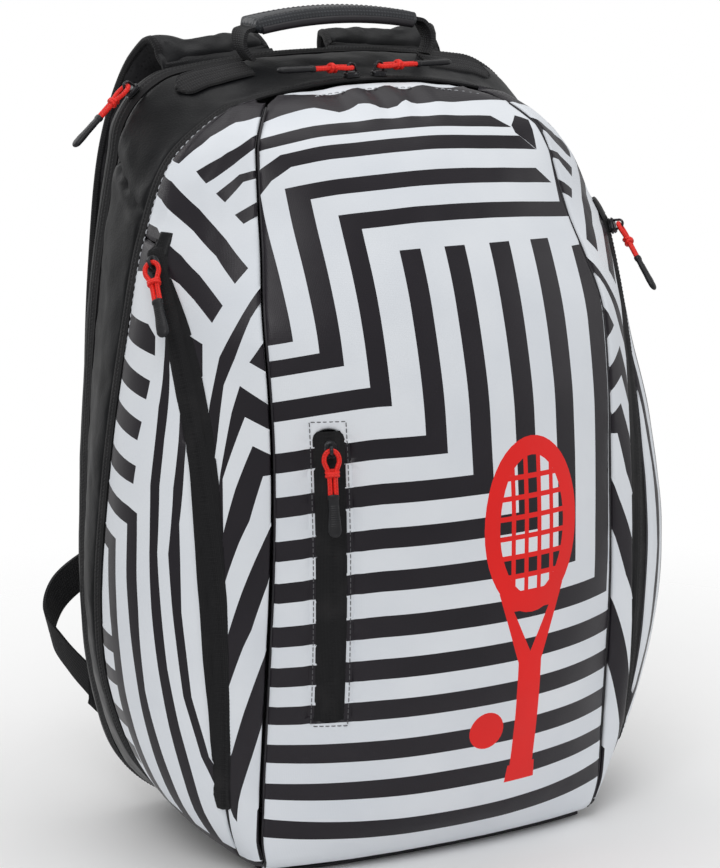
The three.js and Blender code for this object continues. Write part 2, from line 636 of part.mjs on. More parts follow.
/** Slider and puller on a track. The puller leaves along direction, at lift degrees off the tape. */
function addSlider(name, track, direction, lift) {
  const slide = new THREE.Group();
  slide.applyMatrix4(new THREE.Matrix4().makeBasis(track.along, track.across, track.out)
    .setPosition(track.rest));
  add(`${name}_slider`, sliderShape.clone(), LOOK.metal, slide);
  const pull = new THREE.Group();
  pull.position.set(0, 0, SLIDER.holeOut);
  const x = v3(direction * Math.cos(deg(lift)), 0, Math.sin(deg(lift)));
  const y = v3(0, direction, 0);
  pull.quaternion.setFromRotationMatrix(new THREE.Matrix4().makeBasis(x, y, x.clone().cross(y)));
  add(`${name}_pull_cord`, cordShape.clone(), LOOK.cord, pull);
  add(`${name}_pull_tip`, tipShape.clone(), LOOK.plastic, pull);
  slide.add(pull);
  bag.add(slide);
}
addSlider('main_left', mainTrack(-1), 1, 2);
addSlider('main_right', mainTrack(1), 1, 2);
addSlider('rear', rearTrack, -1, 1);
addSlider('front_pocket', pocketTrack, 1, 4);
addSlider('side_right', sideTrack, 1, 15);
// The left side zip is the mirror image of the right one.
const leftSideTrack = new Track(v3(-sidePivotX, SIDE_ZIP.y, SIDE_ZIP.z),
  v3(1, 0, SIDE_ZIP_SLOPE), sideZipRest().multiply(v3(-1, 1, 1)), -SIDE_ZIP.lean);
addSlider('side_left', leftSideTrack, 1, 15);

export default bag;
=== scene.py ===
"""Racket backpack: sewn panels, zips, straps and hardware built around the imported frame.

Shape functions work in millimetres, in the frame's axes. Meshes are made in metres.
"""
import math

import bmesh
import bpy
import numpy as np
from mathutils import Matrix, Vector, noise
from mathutils.geometry import delaunay_2d_cdt
from mathutils.kdtree import KDTree


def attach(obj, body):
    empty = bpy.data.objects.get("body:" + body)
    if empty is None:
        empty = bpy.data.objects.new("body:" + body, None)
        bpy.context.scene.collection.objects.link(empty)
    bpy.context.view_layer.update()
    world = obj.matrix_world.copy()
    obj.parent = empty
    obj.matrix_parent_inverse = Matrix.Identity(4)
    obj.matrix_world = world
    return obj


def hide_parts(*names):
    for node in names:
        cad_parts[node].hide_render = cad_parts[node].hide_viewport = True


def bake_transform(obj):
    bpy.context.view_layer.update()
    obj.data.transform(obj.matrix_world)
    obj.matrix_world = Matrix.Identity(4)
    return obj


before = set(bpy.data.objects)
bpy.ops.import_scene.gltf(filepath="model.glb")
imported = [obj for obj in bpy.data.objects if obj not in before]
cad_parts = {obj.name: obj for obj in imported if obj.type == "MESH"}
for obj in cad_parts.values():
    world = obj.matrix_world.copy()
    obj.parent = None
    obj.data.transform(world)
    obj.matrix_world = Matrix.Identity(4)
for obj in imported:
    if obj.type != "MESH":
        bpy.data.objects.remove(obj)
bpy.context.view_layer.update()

# ---------- dimensions shared with the CAD frame ----------
BORDER_Y = 17            # plane where the domed front meets the main zip
ZIP_TAPE_END_Y = 26
SHELL_END_Y = 73
REAR_Y = 85
BACK_Y = 96
TOP_ARC_R = 330
TOP_ARC_Z = 122
CORNER_R = 50
CORNER_X = 87
CORNER_Z = 408
SEAM_TOP_X = 64
BASE_HALF = 109
STRAP_AXIS_Y = 101
STRAP_AXIS_Z = 451
HANDLE_Y = 57
GRIP_Y = 67
WEBBING = 25
STRAP_X = 57             # middle of each shoulder strap where it leaves the back
ARCH_FOOT_X = 112        # half the distance between the feet of the arch over the bag
DOME_POWER = 2.4         # how late the domed front turns down towards its seams
SEAM_GAP = 2.4           # how far inside its seams the domed front is already turned down
MM = 0.001
SIDES = (("right", 1), ("left", -1))

# ---------- small helpers ----------


def lerp(a, b, t):
    return a + (b - a) * t


def smooth(t, low, high):
    """0 below low, 1 above high, easing in between."""
    t = np.clip((np.asarray(t, float) - low) / (high - low), 0, 1)
    return t * t * (3 - 2 * t)


def hump(x, at, width):
    """1 where x is at the given place, falling away smoothly on both sides."""
    return np.exp(-np.square((x - at) / width))


def vec(*values):
    """A (..., 3) array from three numbers or arrays."""
    return np.stack(np.broadcast_arrays(*[np.asarray(v, float) for v in values]), -1)


def profile(points):
    """Smooth monotone curve through (t, value) pairs, flat outside them."""
    t = np.array([p[0] for p in points], float)
    v = np.array([p[1] for p in points], float)
    h = np.diff(t)
    rise = np.diff(v) / h
    slope = np.zeros(len(t))
    slope[0], slope[-1] = rise[0], rise[-1]
    for i in range(1, len(t) - 1):
        product = rise[i - 1] * rise[i]
        slope[i] = 2 * product / (rise[i - 1] + rise[i]) if product > 0 else 0

    def at(x):
        x = np.clip(x, t[0], t[-1])
        i = np.clip(np.searchsorted(t, x) - 1, 0, len(h) - 1)
        s = (x - t[i]) / h[i]
        return (v[i] * (2 * s**3 - 3 * s**2 + 1) + slope[i] * h[i] * (s**3 - 2 * s**2 + s)
                + v[i + 1] * (3 * s**2 - 2 * s**3) + slope[i + 1] * h[i] * (s**3 - s**2))
    return at


def spline(points, steps):
    """Centripetal Catmull-Rom through points, resampled to even steps."""
    p = np.array(points, float)
    p = np.vstack([2 * p[0] - p[1], p, 2 * p[-1] - p[-2]])
    fine = []
    for i in range(len(p) - 3):
        fine += catmull(p[i:i + 4], 16)
    fine.append(p[-2])
    return resample_path(np.array(fine), steps)


def catmull(p, n):
    """n points from p[1] up to p[2], without p[2]."""
    d = [max(np.linalg.norm(p[i + 1] - p[i]), 1e-9) ** 0.5 for i in range(3)]
    t1, t2, t3 = d[0], d[0] + d[1], sum(d)
    out = []
    for t in np.linspace(t1, t2, n, endpoint=False):
        a1 = p[0] + (p[1] - p[0]) * (t / t1)
        a2 = p[1] + (p[2] - p[1]) * ((t - t1) / d[1])
        a3 = p[2] + (p[3] - p[2]) * ((t - t2) / d[2])
        b1 = a1 + (a2 - a1) * (t / t2)
        b2 = a2 + (a3 - a2) * ((t - t1) / (t3 - t1))
        out.append(b1 + (b2 - b1) * ((t - t1) / d[1]))
    return out


def arc_length(points):
    """Distance along a path at each of its points."""
    return np.concatenate([[0], np.cumsum(np.linalg.norm(np.diff(points, axis=0), axis=1))])


def resample_path(points, steps):
    length = arc_length(points)
    at = np.linspace(0, length[-1], steps + 1)
    return np.stack([np.interp(at, length, column) for column in points.T], 1)


def unit(v):
    """Vectors along the last axis, scaled to length 1."""
    return v / np.maximum(np.linalg.norm(v, axis=-1, keepdims=True), 1e-9)


def around(count):
    """Angles spread evenly over a full turn."""
    return np.linspace(0, 2 * np.pi, count, endpoint=False)


def squarish(count, p, q):
    """Two coordinates of a loop: round where p and q are 1, squarer as they fall."""
    c, s = np.cos(around(count)), np.sin(around(count))
    return np.sign(c) * np.abs(c)**p, np.sign(s) * np.abs(s)**q


def bezier(a, b, c, t):
    """Quadratic Bezier with t an array."""
    t = np.asarray(t, float)[..., None]
    return np.array(a) * (1 - t)**2 + 2 * np.array(b) * t * (1 - t) + np.array(c) * t**2


# ---------- outlines of the bag ----------
def top_arc(x):
    return TOP_ARC_Z + np.sqrt(TOP_ARC_R**2 - np.square(x))


def corner(angle):
    a = math.radians(angle)
    return (CORNER_X + CORNER_R * math.cos(a), CORNER_Z + CORNER_R * math.sin(a))


BORDER_HALF = [(0, 0), (70, 0), (112, 14), (150, 48), (172, 100), (177, 150), (170, 235), (157, 315),
               (145, 370), (127, 412)] + [(x, top_arc(x)) for x in (90, 80, 60, 30, 0)]
REAR_HALF = [(0, 0), (70, 0), (112, 12), (140, 38), (156, 90), (161, 160), (157, 250),
             (149, 340)] + [corner(a) for a in (0, 22, 45, 68, 90)] + [(40, 463), (0, 464)]


class Outline:
    """A closed outline, symmetric about X = 0, read by share of its arch over the bag."""

    def __init__(self, half):
        right = [np.array(p, float) for p in half]
        ring = right + [p * (-1, 1) for p in right[1:-1]][::-1]
        n = len(ring)
        points = []
        for i in range(n):
            points += catmull([ring[(i + j) % n] for j in (-1, 0, 1, 2)], 24)
        self.ring = np.array(points)
        low = int(np.argmax(self.ring[:, 0] >= ARCH_FOOT_X))
        self.points = self.ring[low:n * 24 - low + 1][::-1]
        along = arc_length(self.points)
        self.length = along[-1]
        self.share = along / self.length

    def arch(self, k):
        """(x, z) at share k, from the left base corner over the top to the right one."""
        return tuple(np.interp(k, self.share, column) for column in self.points.T)

    def outward(self, k):
        x1, z1 = self.arch(np.minimum(k + 0.002, 1))
        x0, z0 = self.arch(np.maximum(k - 0.002, 0))
        n = np.hypot(x1 - x0, z1 - z0)
        return -(z1 - z0) / n, (x1 - x0) / n

    def half_width(self, z):
        right = self.points[self.points[:, 0] >= 0][::-1]
        return np.interp(z, right[:, 1], right[:, 0])

    def inset(self, distance, count):
        """The closed outline drawn in, as (x, z) pairs."""
        ring = resample_path(np.vstack([self.ring, self.ring[:1]]), count)[:-1]
        tangent = unit(np.roll(ring, -1, 0) - np.roll(ring, 1, 0))
        return [tuple(p) for p in ring + distance * np.stack([-tangent[:, 1], tangent[:, 0]], 1)]


border = Outline(BORDER_HALF)
rear = Outline(REAR_HALF)
seam_x = profile([(0, 110), (30, 116), (127, 115), (250, 112), (315, 112), (378, 101), (419, 95),
                  (438, 80), (446, SEAM_TOP_X)])
seam_y = profile([(0, -52), (12, -66), (65, -71), (190, -80), (252, -79), (315, -71), (350, -57),
                  (380, -42), (420, -26), (438, -5), (446, BORDER_Y)])
crown_y = profile([(0, -58), (10, -78), (40, -95), (130, -109), (200, -110), (270, -104),
                   (330, -88), (380, -65), (420, -37), (440, -13), (452, BORDER_Y)])


# ---------- zip tracks ----------
class Track:
    """An arc that a slider follows, turning about the axis through pivot."""

    def __init__(self, pivot, axis, rest, lean):
        self.pivot = np.array(pivot, float)
        self.axis = unit(np.array(axis, float))
        self.rest = np.array(rest, float)
        arm = self.rest - self.pivot
        radial = unit(arm - self.axis * arm.dot(self.axis))
        lean = math.radians(lean)
        self.out = radial * math.cos(lean) + self.axis * math.sin(lean)
        self.along = unit(np.cross(self.axis, arm))
        self.across = np.cross(self.out, self.along)

    def point(self, degrees, across=0.0, out=0.0):
        """Point at an arc angle, moved across the tape and out of it. Arrays broadcast."""
        degrees, across, out = (v[..., None] for v in np.broadcast_arrays(degrees, across, out))
        a = np.radians(degrees)
        v = self.rest - self.pivot + across * self.across + out * self.out
        turned = np.cross(np.broadcast_to(self.axis, v.shape), v)
        along = self.axis * (v @ self.axis)[..., None]
        return v * np.cos(a) + turned * np.sin(a) + along * (1 - np.cos(a)) + self.pivot

    def matrix(self):
        columns = np.stack([self.along, self.across, self.out, self.rest], 1)
        return Matrix([*columns.tolist(), (0, 0, 0, 1)])


# Arcs of the upright zips: centre (y, z), radius and end heights. The side zip passes x at height level.
SIDE_ZIP = dict(y=381, z=135, r=450, x=143, level=200, slope=0.052, lean=42, top=357, bottom=60)
POCKET_ZIP = dict(x=-83, y=774, z=186, r=869.8, top=260, bottom=106, lean=-21.6)
ZIP_FOOT_Z = 5                  # where the line of the side zip meets the base
MAIN_SLIDER_X = 9


def arc_angle(arc, z):
    """Angle a slider has turned through between the top of its zip and height z."""
    top = math.asin((arc["top"] - arc["z"]) / arc["r"])
    return np.degrees(top - np.arcsin((np.asarray(z, float) - arc["z"]) / arc["r"]))


def arc_y(arc):
    """Depth of the top of a zip."""
    return arc["y"] - math.sqrt(arc["r"]**2 - (arc["top"] - arc["z"])**2)


def side_track(side):
    arc = SIDE_ZIP
    x_rest, x_pivot = (side * (arc["x"] + arc["slope"] * (arc[z] - arc["level"])) for z in ("top", "z"))
    return Track((x_pivot, arc["y"], arc["z"]), (1, 0, -side * arc["slope"]),
                 (x_rest, arc_y(arc), arc["top"]), side * arc["lean"])


def main_track(side):
    y = (BORDER_Y + ZIP_TAPE_END_Y) / 2
    return Track((0, y, TOP_ARC_Z), (0, side, 0), (side * MAIN_SLIDER_X, y, top_arc(MAIN_SLIDER_X)), 0)


def pocket_track():
    arc = POCKET_ZIP
    return Track((arc["x"], arc["y"], arc["z"]), (1, 0, 0), (arc["x"], arc_y(arc), arc["top"]), arc["lean"])


def rear_track():
    y = (SHELL_END_Y + REAR_Y) / 2
    reach = CORNER_R * math.sqrt(0.5)
    return Track((-CORNER_X, y, CORNER_Z), (0, 1, 0), (-CORNER_X - reach, y, CORNER_Z + reach), 0)


right_side = side_track(1)
pocket = pocket_track()


# ---------- surfaces of the bag, in millimetres ----------
def front_point(p):
    """Front panel by (x, z)."""
    x, z = p[..., 0], p[..., 1]
    across = np.clip(np.abs(x) / (seam_x(z) - SEAM_GAP), 0, 1.03)
    y = lerp(crown_y(z), seam_y(z), across**DOME_POWER)
    return vec(x, np.minimum(y, BORDER_Y - 1.5), z)


def seam_point(z):
    return vec(seam_x(z) + 0.4, seam_y(z) + 1, z)


def border_point(z):
    z = np.clip(z, 15, 451)
    return vec(border.half_width(z), BORDER_Y - 0.5, z)


def zip_line(z, across=0.0):
    """Right side zip by height. Below the zip the line runs on to the base."""
    z = np.asarray(z, float)
    bottom = SIDE_ZIP["bottom"]
    upper = right_side.point(arc_angle(SIDE_ZIP, np.clip(z, bottom, 368)), across)
    end = right_side.point(arc_angle(SIDE_ZIP, np.full(z.shape, float(bottom))), across)
    foot = vec(BASE_HALF + 4, -42 + np.asarray(across, float) + 0 * z, ZIP_FOOT_Z)
    control = vec(lerp(foot[..., 0], end[..., 0], 0.8), lerp(foot[..., 1], end[..., 1], 0.6), 22)
    lower = bezier(foot, control, end, np.clip((z - ZIP_FOOT_Z) / (bottom - ZIP_FOOT_Z), 0, 1))
    return np.where((z < bottom)[..., None], lower, upper)


side_bulge = profile([(0, 3), (60, 14), (170, 21), (240, 16), (296, 9), (350, 3), (372, 1)])
upper_bulge = profile([(330, 0), (372, 11), (400, 8), (425, 4), (446, 0)])


def mid_line(z):
    """Right side panels' middle line: the zip, then a line up to the top of the border."""
    a, b = seam_point(z), border_point(z)
    share = 0.72 + 0.2 * np.clip((z - 365) / 70, 0, 1)
    out = upper_bulge(z) * np.sin(np.pi * share**1.5)
    above = a + (b - a) * share[..., None] + np.array([0.85, -0.5, 0.15]) * out[..., None]
    low = zip_line(np.minimum(z, 365)) + vec(0, 0, np.maximum(z - 365, 0))
    return lerp(low, above, smooth(z, 352, 380)[..., None])


U = 60                          # width given to each half of a side panel when it is laid flat


def side_point(p):
    """Right side by (60 u, z): u is 0 at the front seam, 1 at the zip and 2 at the main zip."""
    u, z = p[..., 0] / U, p[..., 1]
    a, m, b = seam_point(z), mid_line(z), border_point(z)
    f = np.clip(u, 0, 1)[..., None]
    g = np.clip(u - 1, 0, 1.02)[..., None]
    fore = a + (m - a) * f + np.array([2, -2.5, 0]) * 4 * f * (1 - f)
    aft = m + (b - m) * g + np.array([0.85, -0.52, 0]) * side_bulge(z)[..., None] * 4 * g * (1 - g)
    return np.where(u[..., None] <= 1, fore, aft)


def shell_point(k, y):
    t = smooth(y, ZIP_TAPE_END_Y, REAR_Y)
    x0, z0 = border.arch(k)
    x1, z1 = rear.arch(k)
    return vec(lerp(x0, x1, t), y, lerp(z0, z1, t))


def shell_flat(p):
    """Black shell by (distance along the arch, depth)."""
    return shell_point(p[..., 0] / border.length, p[..., 1])


def back_edge_point(k, v):
    """Rounded rear edge: v 0 at the rear zip, 1 on the flat back."""
    angle = v * np.pi / 2
    inset = 9 * (1 - np.cos(angle))
    x, z = rear.arch(k)
    nx, nz = rear.outward(k)
    return vec(x - nx * inset, lerp(REAR_Y - 0.5, BACK_Y - 1, np.sin(angle)), z - nz * inset)


BASE_FLAT = 150                 # depth given to the base when it is laid flat


def base_point(p):
    """Base by (x, depth when laid flat)."""
    x, u = p[..., 0], p[..., 1] / BASE_FLAT
    across = np.abs(x) / BASE_HALF
    front = lerp(crown_y(4.0), seam_y(4.0), across**DOME_POWER) + SEAM_GAP
    y = lerp(front, REAR_Y + 5, u)
    rise = smooth(np.abs(x), 72, 130) * 20 * smooth(y, -60, 20)
    return vec(x, y, rise)


# ---------- mesh making ----------
class Shape:
    """Collects vertices (mm), faces, looks and flat coordinates for one object."""

    def __init__(self):
        self.points, self.faces, self.looks, self.flat = [], [], [], []
        self.count = 0

    def add(self, points, faces, look=0, flat=None):
        points = np.asarray(points, float).reshape(-1, 3)
        self.points.append(points)
        self.faces += [tuple(int(i) + self.count for i in f) for f in faces]
        self.looks += [int(look)] * len(faces) if np.ndim(look) == 0 else [int(v) for v in look]
        self.flat.append(points[:, :2] if flat is None else np.asarray(flat, float).reshape(-1, 2))
        self.count += len(points)
        return self

    def grid(self, points, thickness, flat):
        """A closed sheet from a (rows, columns, 3) grid, thickened against its normals."""
        rows, columns = points.shape[:2]
        index = np.arange(rows * columns).reshape(rows, columns)
        faces = np.stack([index[:-1, :-1], index[:-1, 1:], index[1:, 1:], index[1:, :-1]], -1)
        normals = np.cross(np.gradient(points, axis=1), np.gradient(points, axis=0)).reshape(-1, 3)
        return self.sheet(points.reshape(-1, 3), faces.reshape(-1, 4), normals, thickness,
                          flat.reshape(-1, 2))

    def sheet(self, points, faces, normals, thickness, flat, look=0, back_look=0):
        """Thickens an open surface into a closed one."""
        n = len(points)
        both = np.vstack([points, points - unit(normals) * thickness])
        first = np.concatenate(list(faces.T))
        second = np.concatenate(list(np.roll(faces, -1, 1).T))
        paired = set((second * n + first).tolist())
        edges = zip(first.tolist(), second.tolist())
        rim = [(b, a, a + n, b + n) for a, b in edges if a * n + b not in paired]
        every = [tuple(f) for f in faces] + [tuple(f) for f in (faces[:, ::-1] + n)] + rim
        looks = np.full(len(every), back_look)
        looks[:len(faces)] = look
        return self.add(both, every, looks, np.vstack([flat, flat]))

    def tube(self, path, radius, sides=8, look=0, closed=False, squash=1.0, up=(0.31, 0.52, 0.79)):
        """A round tube with capped ends."""
        path = np.asarray(path, float)
        tangent = unit(np.roll(path, -1, 0) - np.roll(path, 1, 0) if closed else np.gradient(path, axis=0))
        side = np.array(up, float)
        a = around(sides)
        rings = []
        for at, ahead in zip(path, tangent):
            side = unit(side - ahead * side.dot(ahead))
            other = np.cross(ahead, side)
            rings.append(at + radius * (np.outer(np.cos(a), side) * squash + np.outer(np.sin(a), other)))
        return self.loft(np.array(rings), look, closed)

    def loft(self, rings, look=0, closed=False):
        """Quads between rings of equal length, and caps at both ends."""
        n, sides = rings.shape[:2]
        along = arc_length(rings[:, 0])
        round_ = np.linalg.norm(np.roll(rings[0], -1, 0) - rings[0], axis=1).mean() * np.arange(sides)
        flat = np.stack(np.broadcast_arrays(along[:, None], round_[None, :]), -1)
        faces = []
        for i in range(n if closed else n - 1):
            j = (i + 1) % n
            for k in range(sides):
                m = (k + 1) % sides
                faces.append((i * sides + k, j * sides + k, j * sides + m, i * sides + m))
        if not closed:
            faces += [tuple(range(sides)), tuple(range(n * sides - 1, (n - 1) * sides - 1, -1))]
        return self.add(rings, faces, look, flat)

    def make(self, name, materials, slot=None, body="bag", sharp=45, matrix=None):
        """The object, on its body, or with its transform baked in and no body when given more than a name. It
        stands for the CAD node of its name, if any.
        """
        mesh = bpy.data.meshes.new(name)
        mesh.from_pydata((np.vstack(self.points) * MM).tolist(), [], self.faces)
        mesh.polygons.foreach_set("material_index", np.array(self.looks, np.int32))
        mesh.polygons.foreach_set("use_smooth", np.ones(len(self.faces), bool))
        corners = np.zeros(len(mesh.loops), np.int32)
        mesh.loops.foreach_get("vertex_index", corners)
        layer = mesh.uv_layers.new(name="flat")
        layer.data.foreach_set("uv", np.vstack(self.flat)[corners].astype(np.float32).ravel())
        for material in materials:
            mesh.materials.append(material)
        outward(mesh)
        if sharp < 180:
            mesh.set_sharp_from_angle(angle=math.radians(sharp))
        piece = bpy.data.objects.new(name, mesh)
        bpy.context.scene.collection.objects.link(piece)
        if matrix is not None:
            mesh.transform(matrix)
        if isinstance(body, str):
            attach(piece, body)
        else:
            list(body)
            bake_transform(piece)
        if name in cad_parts:
            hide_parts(name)
        return piece


def outward(mesh):
    """Turns every face of a closed mesh outwards."""
    bm = bmesh.new()
    bm.from_mesh(mesh)
    bmesh.ops.recalc_face_normals(bm, faces=bm.faces[:])
    bm.to_mesh(mesh)
    bm.free()


def turbulence(points, size, seed, octaves=2):
    """Smooth noise from about -1 to 1, with features of that size in mm."""
    shift = np.array([7.3, 3.1, 5.7]) * seed
    return np.array([noise.fractal(Vector(p), 1.0, 2.0, octaves) for p in points / size + shift])


# ---------- flat patterns ----------
def bar(x0, x1, z0, z1):
    return [(x0, z0), (x1, z0), (x1, z1), (x0, z1)]


def densify(polygon, step):
    out = []
    for a, b in zip(polygon, polygon[1:] + polygon[:1]):
        n = max(1, math.ceil(math.dist(a, b) / step))
        out += [(lerp(a[0], b[0], i / n), lerp(a[1], b[1], i / n)) for i in range(n)]
    return out


def inside(points, loops):
    """Even-odd test of (n, 2) points against one or more loops."""
    x, y = points[:, 0], points[:, 1]
    result = np.zeros(len(points), bool)
    for loop in loops:
        px, py = loop[-1]
        for qx, qy in loop:
            if qy != py:
                crosses = (qy > y) != (py > y)
                result ^= crosses & (x < (px - qx) * (y - qy) / (py - qy) + qx)
            px, py = qx, qy
    return result


def tree_of(points):
    """Search tree of flat or solid points."""
    tree = KDTree(len(points))
    for i, p in enumerate(points):
        tree.insert(p if len(p) == 3 else (*p, 0), i)
    tree.balance()
    return tree


def beside(loops):
    """Rows of points along both sides of loops, so that the triangles at the edges are even."""
    rows = []
    for loop in loops:
        p = np.array(loop)
        t = unit(np.roll(p, -1, 0) - np.roll(p, 1, 0))
        for distance in (1.0, 2.2, 4.0):
            for sign in (1, -1):
                rows.append(p + sign * distance * np.stack([-t[:, 1], t[:, 0]], 1))
    return np.vstack(rows)


def even_grid(low, high, step):
    """Points of an even triangular grid over a rectangle."""
    x, y = np.meshgrid(np.arange(low[0], high[0], step), np.arange(low[1], high[1], step * 0.866))
    x = x + (np.arange(len(x)) % 2)[:, None] * step / 2
    return np.stack([x.ravel(), y.ravel()], 1)


def triangulate(outline, areas, step):
    """Points, triangles, a look per triangle and edge points. areas are (loops, look)."""
    loops = [densify(loop, step * 0.7) for loop in outline]
    edge_points = [p for loop in loops for p in loop]
    rows = beside(loops)
    grid = even_grid(np.min(edge_points, 0), np.max(edge_points, 0), step)
    for area, _ in areas:
        loops += [densify(loop, step * 1.4) for loop in area]
    points, edges = [], []
    for loop in loops:
        start = len(points)
        points += loop
        edges += [(start + i, start + (i + 1) % len(loop)) for i in range(len(loop))]
    for batch, gap in ((rows, 0.7), (grid, step * 0.5)):
        tree = tree_of(points)
        batch = batch[inside(batch, outline)]
        points += [tuple(p) for p in batch if tree.find((p[0], p[1], 0))[2] > gap]
    made = delaunay_2d_cdt([Vector(p) for p in points], edges, [], 0, 1e-5)
    xy = np.array([tuple(p) for p in made[0]])
    faces = np.array([tuple(f) for f in made[2]])
    centre = xy[faces].mean(1)
    keep = inside(centre, outline)
    faces, centre = faces[keep], centre[keep]
    look = np.zeros(len(faces), int)
    for area, value in areas:
        look[inside(centre, area)] = value
    used, faces = np.unique(faces, return_inverse=True)
    return xy[used], faces.reshape(-1, 3), look, np.array(edge_points)


def surface_normals(place, flat):
    e = 0.25
    du = place(flat + (e, 0)) - place(flat - (e, 0))
    dv = place(flat + (0, e)) - place(flat - (0, e))
    return unit(np.cross(du, dv))


TURN = 3.6                      # width of the strip that turns in along a panel's edge
PUCKER_REACH = 7
DENT_SIZE, DENT_HEIGHT = 46, 0.35


def panel(name, outline, place, materials, areas=(), step=4.0, thickness=1.6, roll=2.2, pucker=0.3,
          relief=None, flip=False, sign=1, seed=1, fit=None, **how):
    """A sewn panel cut from flat cloth: its edges turn in at the seams and pucker beside them."""
    flat, faces, look, rim = triangulate(outline, areas, step)
    points = place(flat)
    normals = surface_normals(place, flat) * (-1 if flip else 1)
    tree = tree_of(rim)
    found = [tree.find((p[0], p[1], 0)) for p in flat]
    distance = np.array([f[2] for f in found])
    along = np.array([f[1] for f in found], float)
    turn = np.clip(1 - distance / TURN, 0, 1)
    height = -roll * (1 - np.sqrt(np.clip(1 - turn**2, 0, 1)))
    gather = turbulence(np.stack([along / 3.1, distance * 0.25, 0 * along], 1), 1.0, seed)
    height += pucker * gather * np.exp(-distance / PUCKER_REACH) * (1 - turn)
    height += DENT_HEIGHT * turbulence(points, DENT_SIZE, seed + 3) * (1 - np.exp(-distance / 12))
    if relief is not None:
        height += relief(flat, points)
    points = points + normals * height[:, None]
    points, normals = points * (sign, 1, 1), normals * (sign, 1, 1)
    shape = Shape().sheet(points, faces, normals, thickness, flat, look, len(materials) - 1)
    if fit is not None:
        shape.points = [fit(p) for p in shape.points]
    return shape.make(name, materials, **how)


# ---------- materials ----------
class Look:
    """Builds one procedural material step by step."""

    def __init__(self, name, color, roughness, metallic=0.0, specular=0.5, sheen=0.0, coat=0.0,
                 coat_roughness=0.03):
        self.material = bpy.data.materials.new(name)
        self.material.use_nodes = True
        self.nodes, self.links = self.material.node_tree.nodes, self.material.node_tree.links
        self.shader = self.nodes["Principled BSDF"]
        for socket, value in (("Base Color", (*color, 1)), ("Roughness", roughness), ("Metallic", metallic),
                              ("Specular IOR Level", specular), ("Sheen Weight", sheen),
                              ("Coat Weight", coat), ("Coat Roughness", coat_roughness)):
            self.shader.inputs[socket].default_value = value
        self.bump = None
        self.uv = self.nodes.new("ShaderNodeUVMap").outputs[0]
        self.place = self.nodes.new("ShaderNodeTexCoord").outputs["Object"]

    def math(self, operation, *values):
        node = self.nodes.new("ShaderNodeMath")
        node.operation = operation
        for socket, value in zip(node.inputs, values):
            self.put(socket, value)
        return node.outputs[0]

    def put(self, socket, value):
        if isinstance(value, (int, float)):
            socket.default_value = value
        else:
            self.links.new(value, socket)

    def texture(self, kind, size):
        """A texture node in object space, with features about size mm across."""
        node = self.nodes.new(kind)
        self.links.new(self.place, node.inputs["Vector"])
        node.inputs["Scale"].default_value = 1 / (size * MM)
        return node

    def noise(self, size, detail=3.0):
        """Noise from 0 to 1."""
        node = self.texture("ShaderNodeTexNoise", size)
        node.inputs["Detail"].default_value = detail
        return node.outputs[0]

    def cells(self, size):
        return self.texture("ShaderNodeTexVoronoi", size).outputs["Distance"]

    def wave(self, pitch, axis, shift=0.0):
        """A sine from 0 to 1 across the flat coordinates, which are in mm."""
        split = self.nodes.new("ShaderNodeSeparateXYZ")
        self.links.new(self.uv, split.inputs[0])
        turned = self.math("MULTIPLY_ADD", split.outputs[axis], 2 * math.pi / pitch, shift)
        return self.math("MULTIPLY_ADD", self.math("SINE", turned), 0.5, 0.5)

    def threads(self, pitch_x, pitch_y, shift=0.0):
        """Two systems of threads crossing each other. A quarter turn of shift makes them a weave."""
        return self.math("MULTIPLY", self.wave(pitch_x, "X"), self.wave(pitch_y, "Y", shift))

    def weave(self, pitch):
        return self.threads(pitch, pitch, math.pi / 2)

    def add_bump(self, height, distance, strength=1.0):
        """distance is the relief's depth in mm."""
        node = self.nodes.new("ShaderNodeBump")
        node.inputs["Strength"].default_value = strength
        node.inputs["Distance"].default_value = distance * MM
        self.put(node.inputs["Height"], height)
        if self.bump is not None:
            self.links.new(self.bump, node.inputs["Normal"])
        self.bump = node.outputs[0]
        self.links.new(self.bump, self.shader.inputs["Normal"])
        return self

    def vary_color(self, factor, other):
        """Mixes towards another colour where factor is high."""
        mix = self.nodes.new("ShaderNodeMix")
        mix.data_type = "RGBA"
        self.put(mix.inputs[0], factor)
        old = self.shader.inputs["Base Color"]
        if old.is_linked:
            self.links.new(old.links[0].from_socket, mix.inputs[6])
        else:
            mix.inputs[6].default_value = old.default_value[:]
        mix.inputs[7].default_value = (*other, 1)
        self.links.new(mix.outputs[2], old)
        return self

    def vary_roughness(self, factor, low, high):
        value = self.math("MULTIPLY_ADD", factor, high - low, low)
        self.links.new(value, self.shader.inputs["Roughness"])
        return self

    def soften(self, factor, low, high):
        """factor stretched so that low maps to 0 and high to 1."""
        node = self.nodes.new("ShaderNodeMapRange")
        self.put(node.inputs[0], factor)
        node.inputs[1].default_value = low
        node.inputs[2].default_value = high
        return node.outputs[0]

    def drift(self, size, low, high, other):
        """Slow changes towards another colour, in patches about size mm across."""
        return self.vary_color(self.soften(self.noise(size), low, high), other)


def cloth_look(name, color, shade, roughness):
    """Coated woven cloth: faint threads under a smooth film, with slow changes of tone."""
    look = Look(name, color, roughness, specular=0.28, sheen=0.01, coat=0.03, coat_roughness=0.35)
    look.drift(60, 0.35, 0.75, shade)
    look.vary_roughness(look.noise(18), roughness - 0.08, roughness + 0.1)
    look.add_bump(look.weave(0.9), 0.035)
    look.add_bump(look.noise(9, 4), 0.12, 0.6)
    return look.material


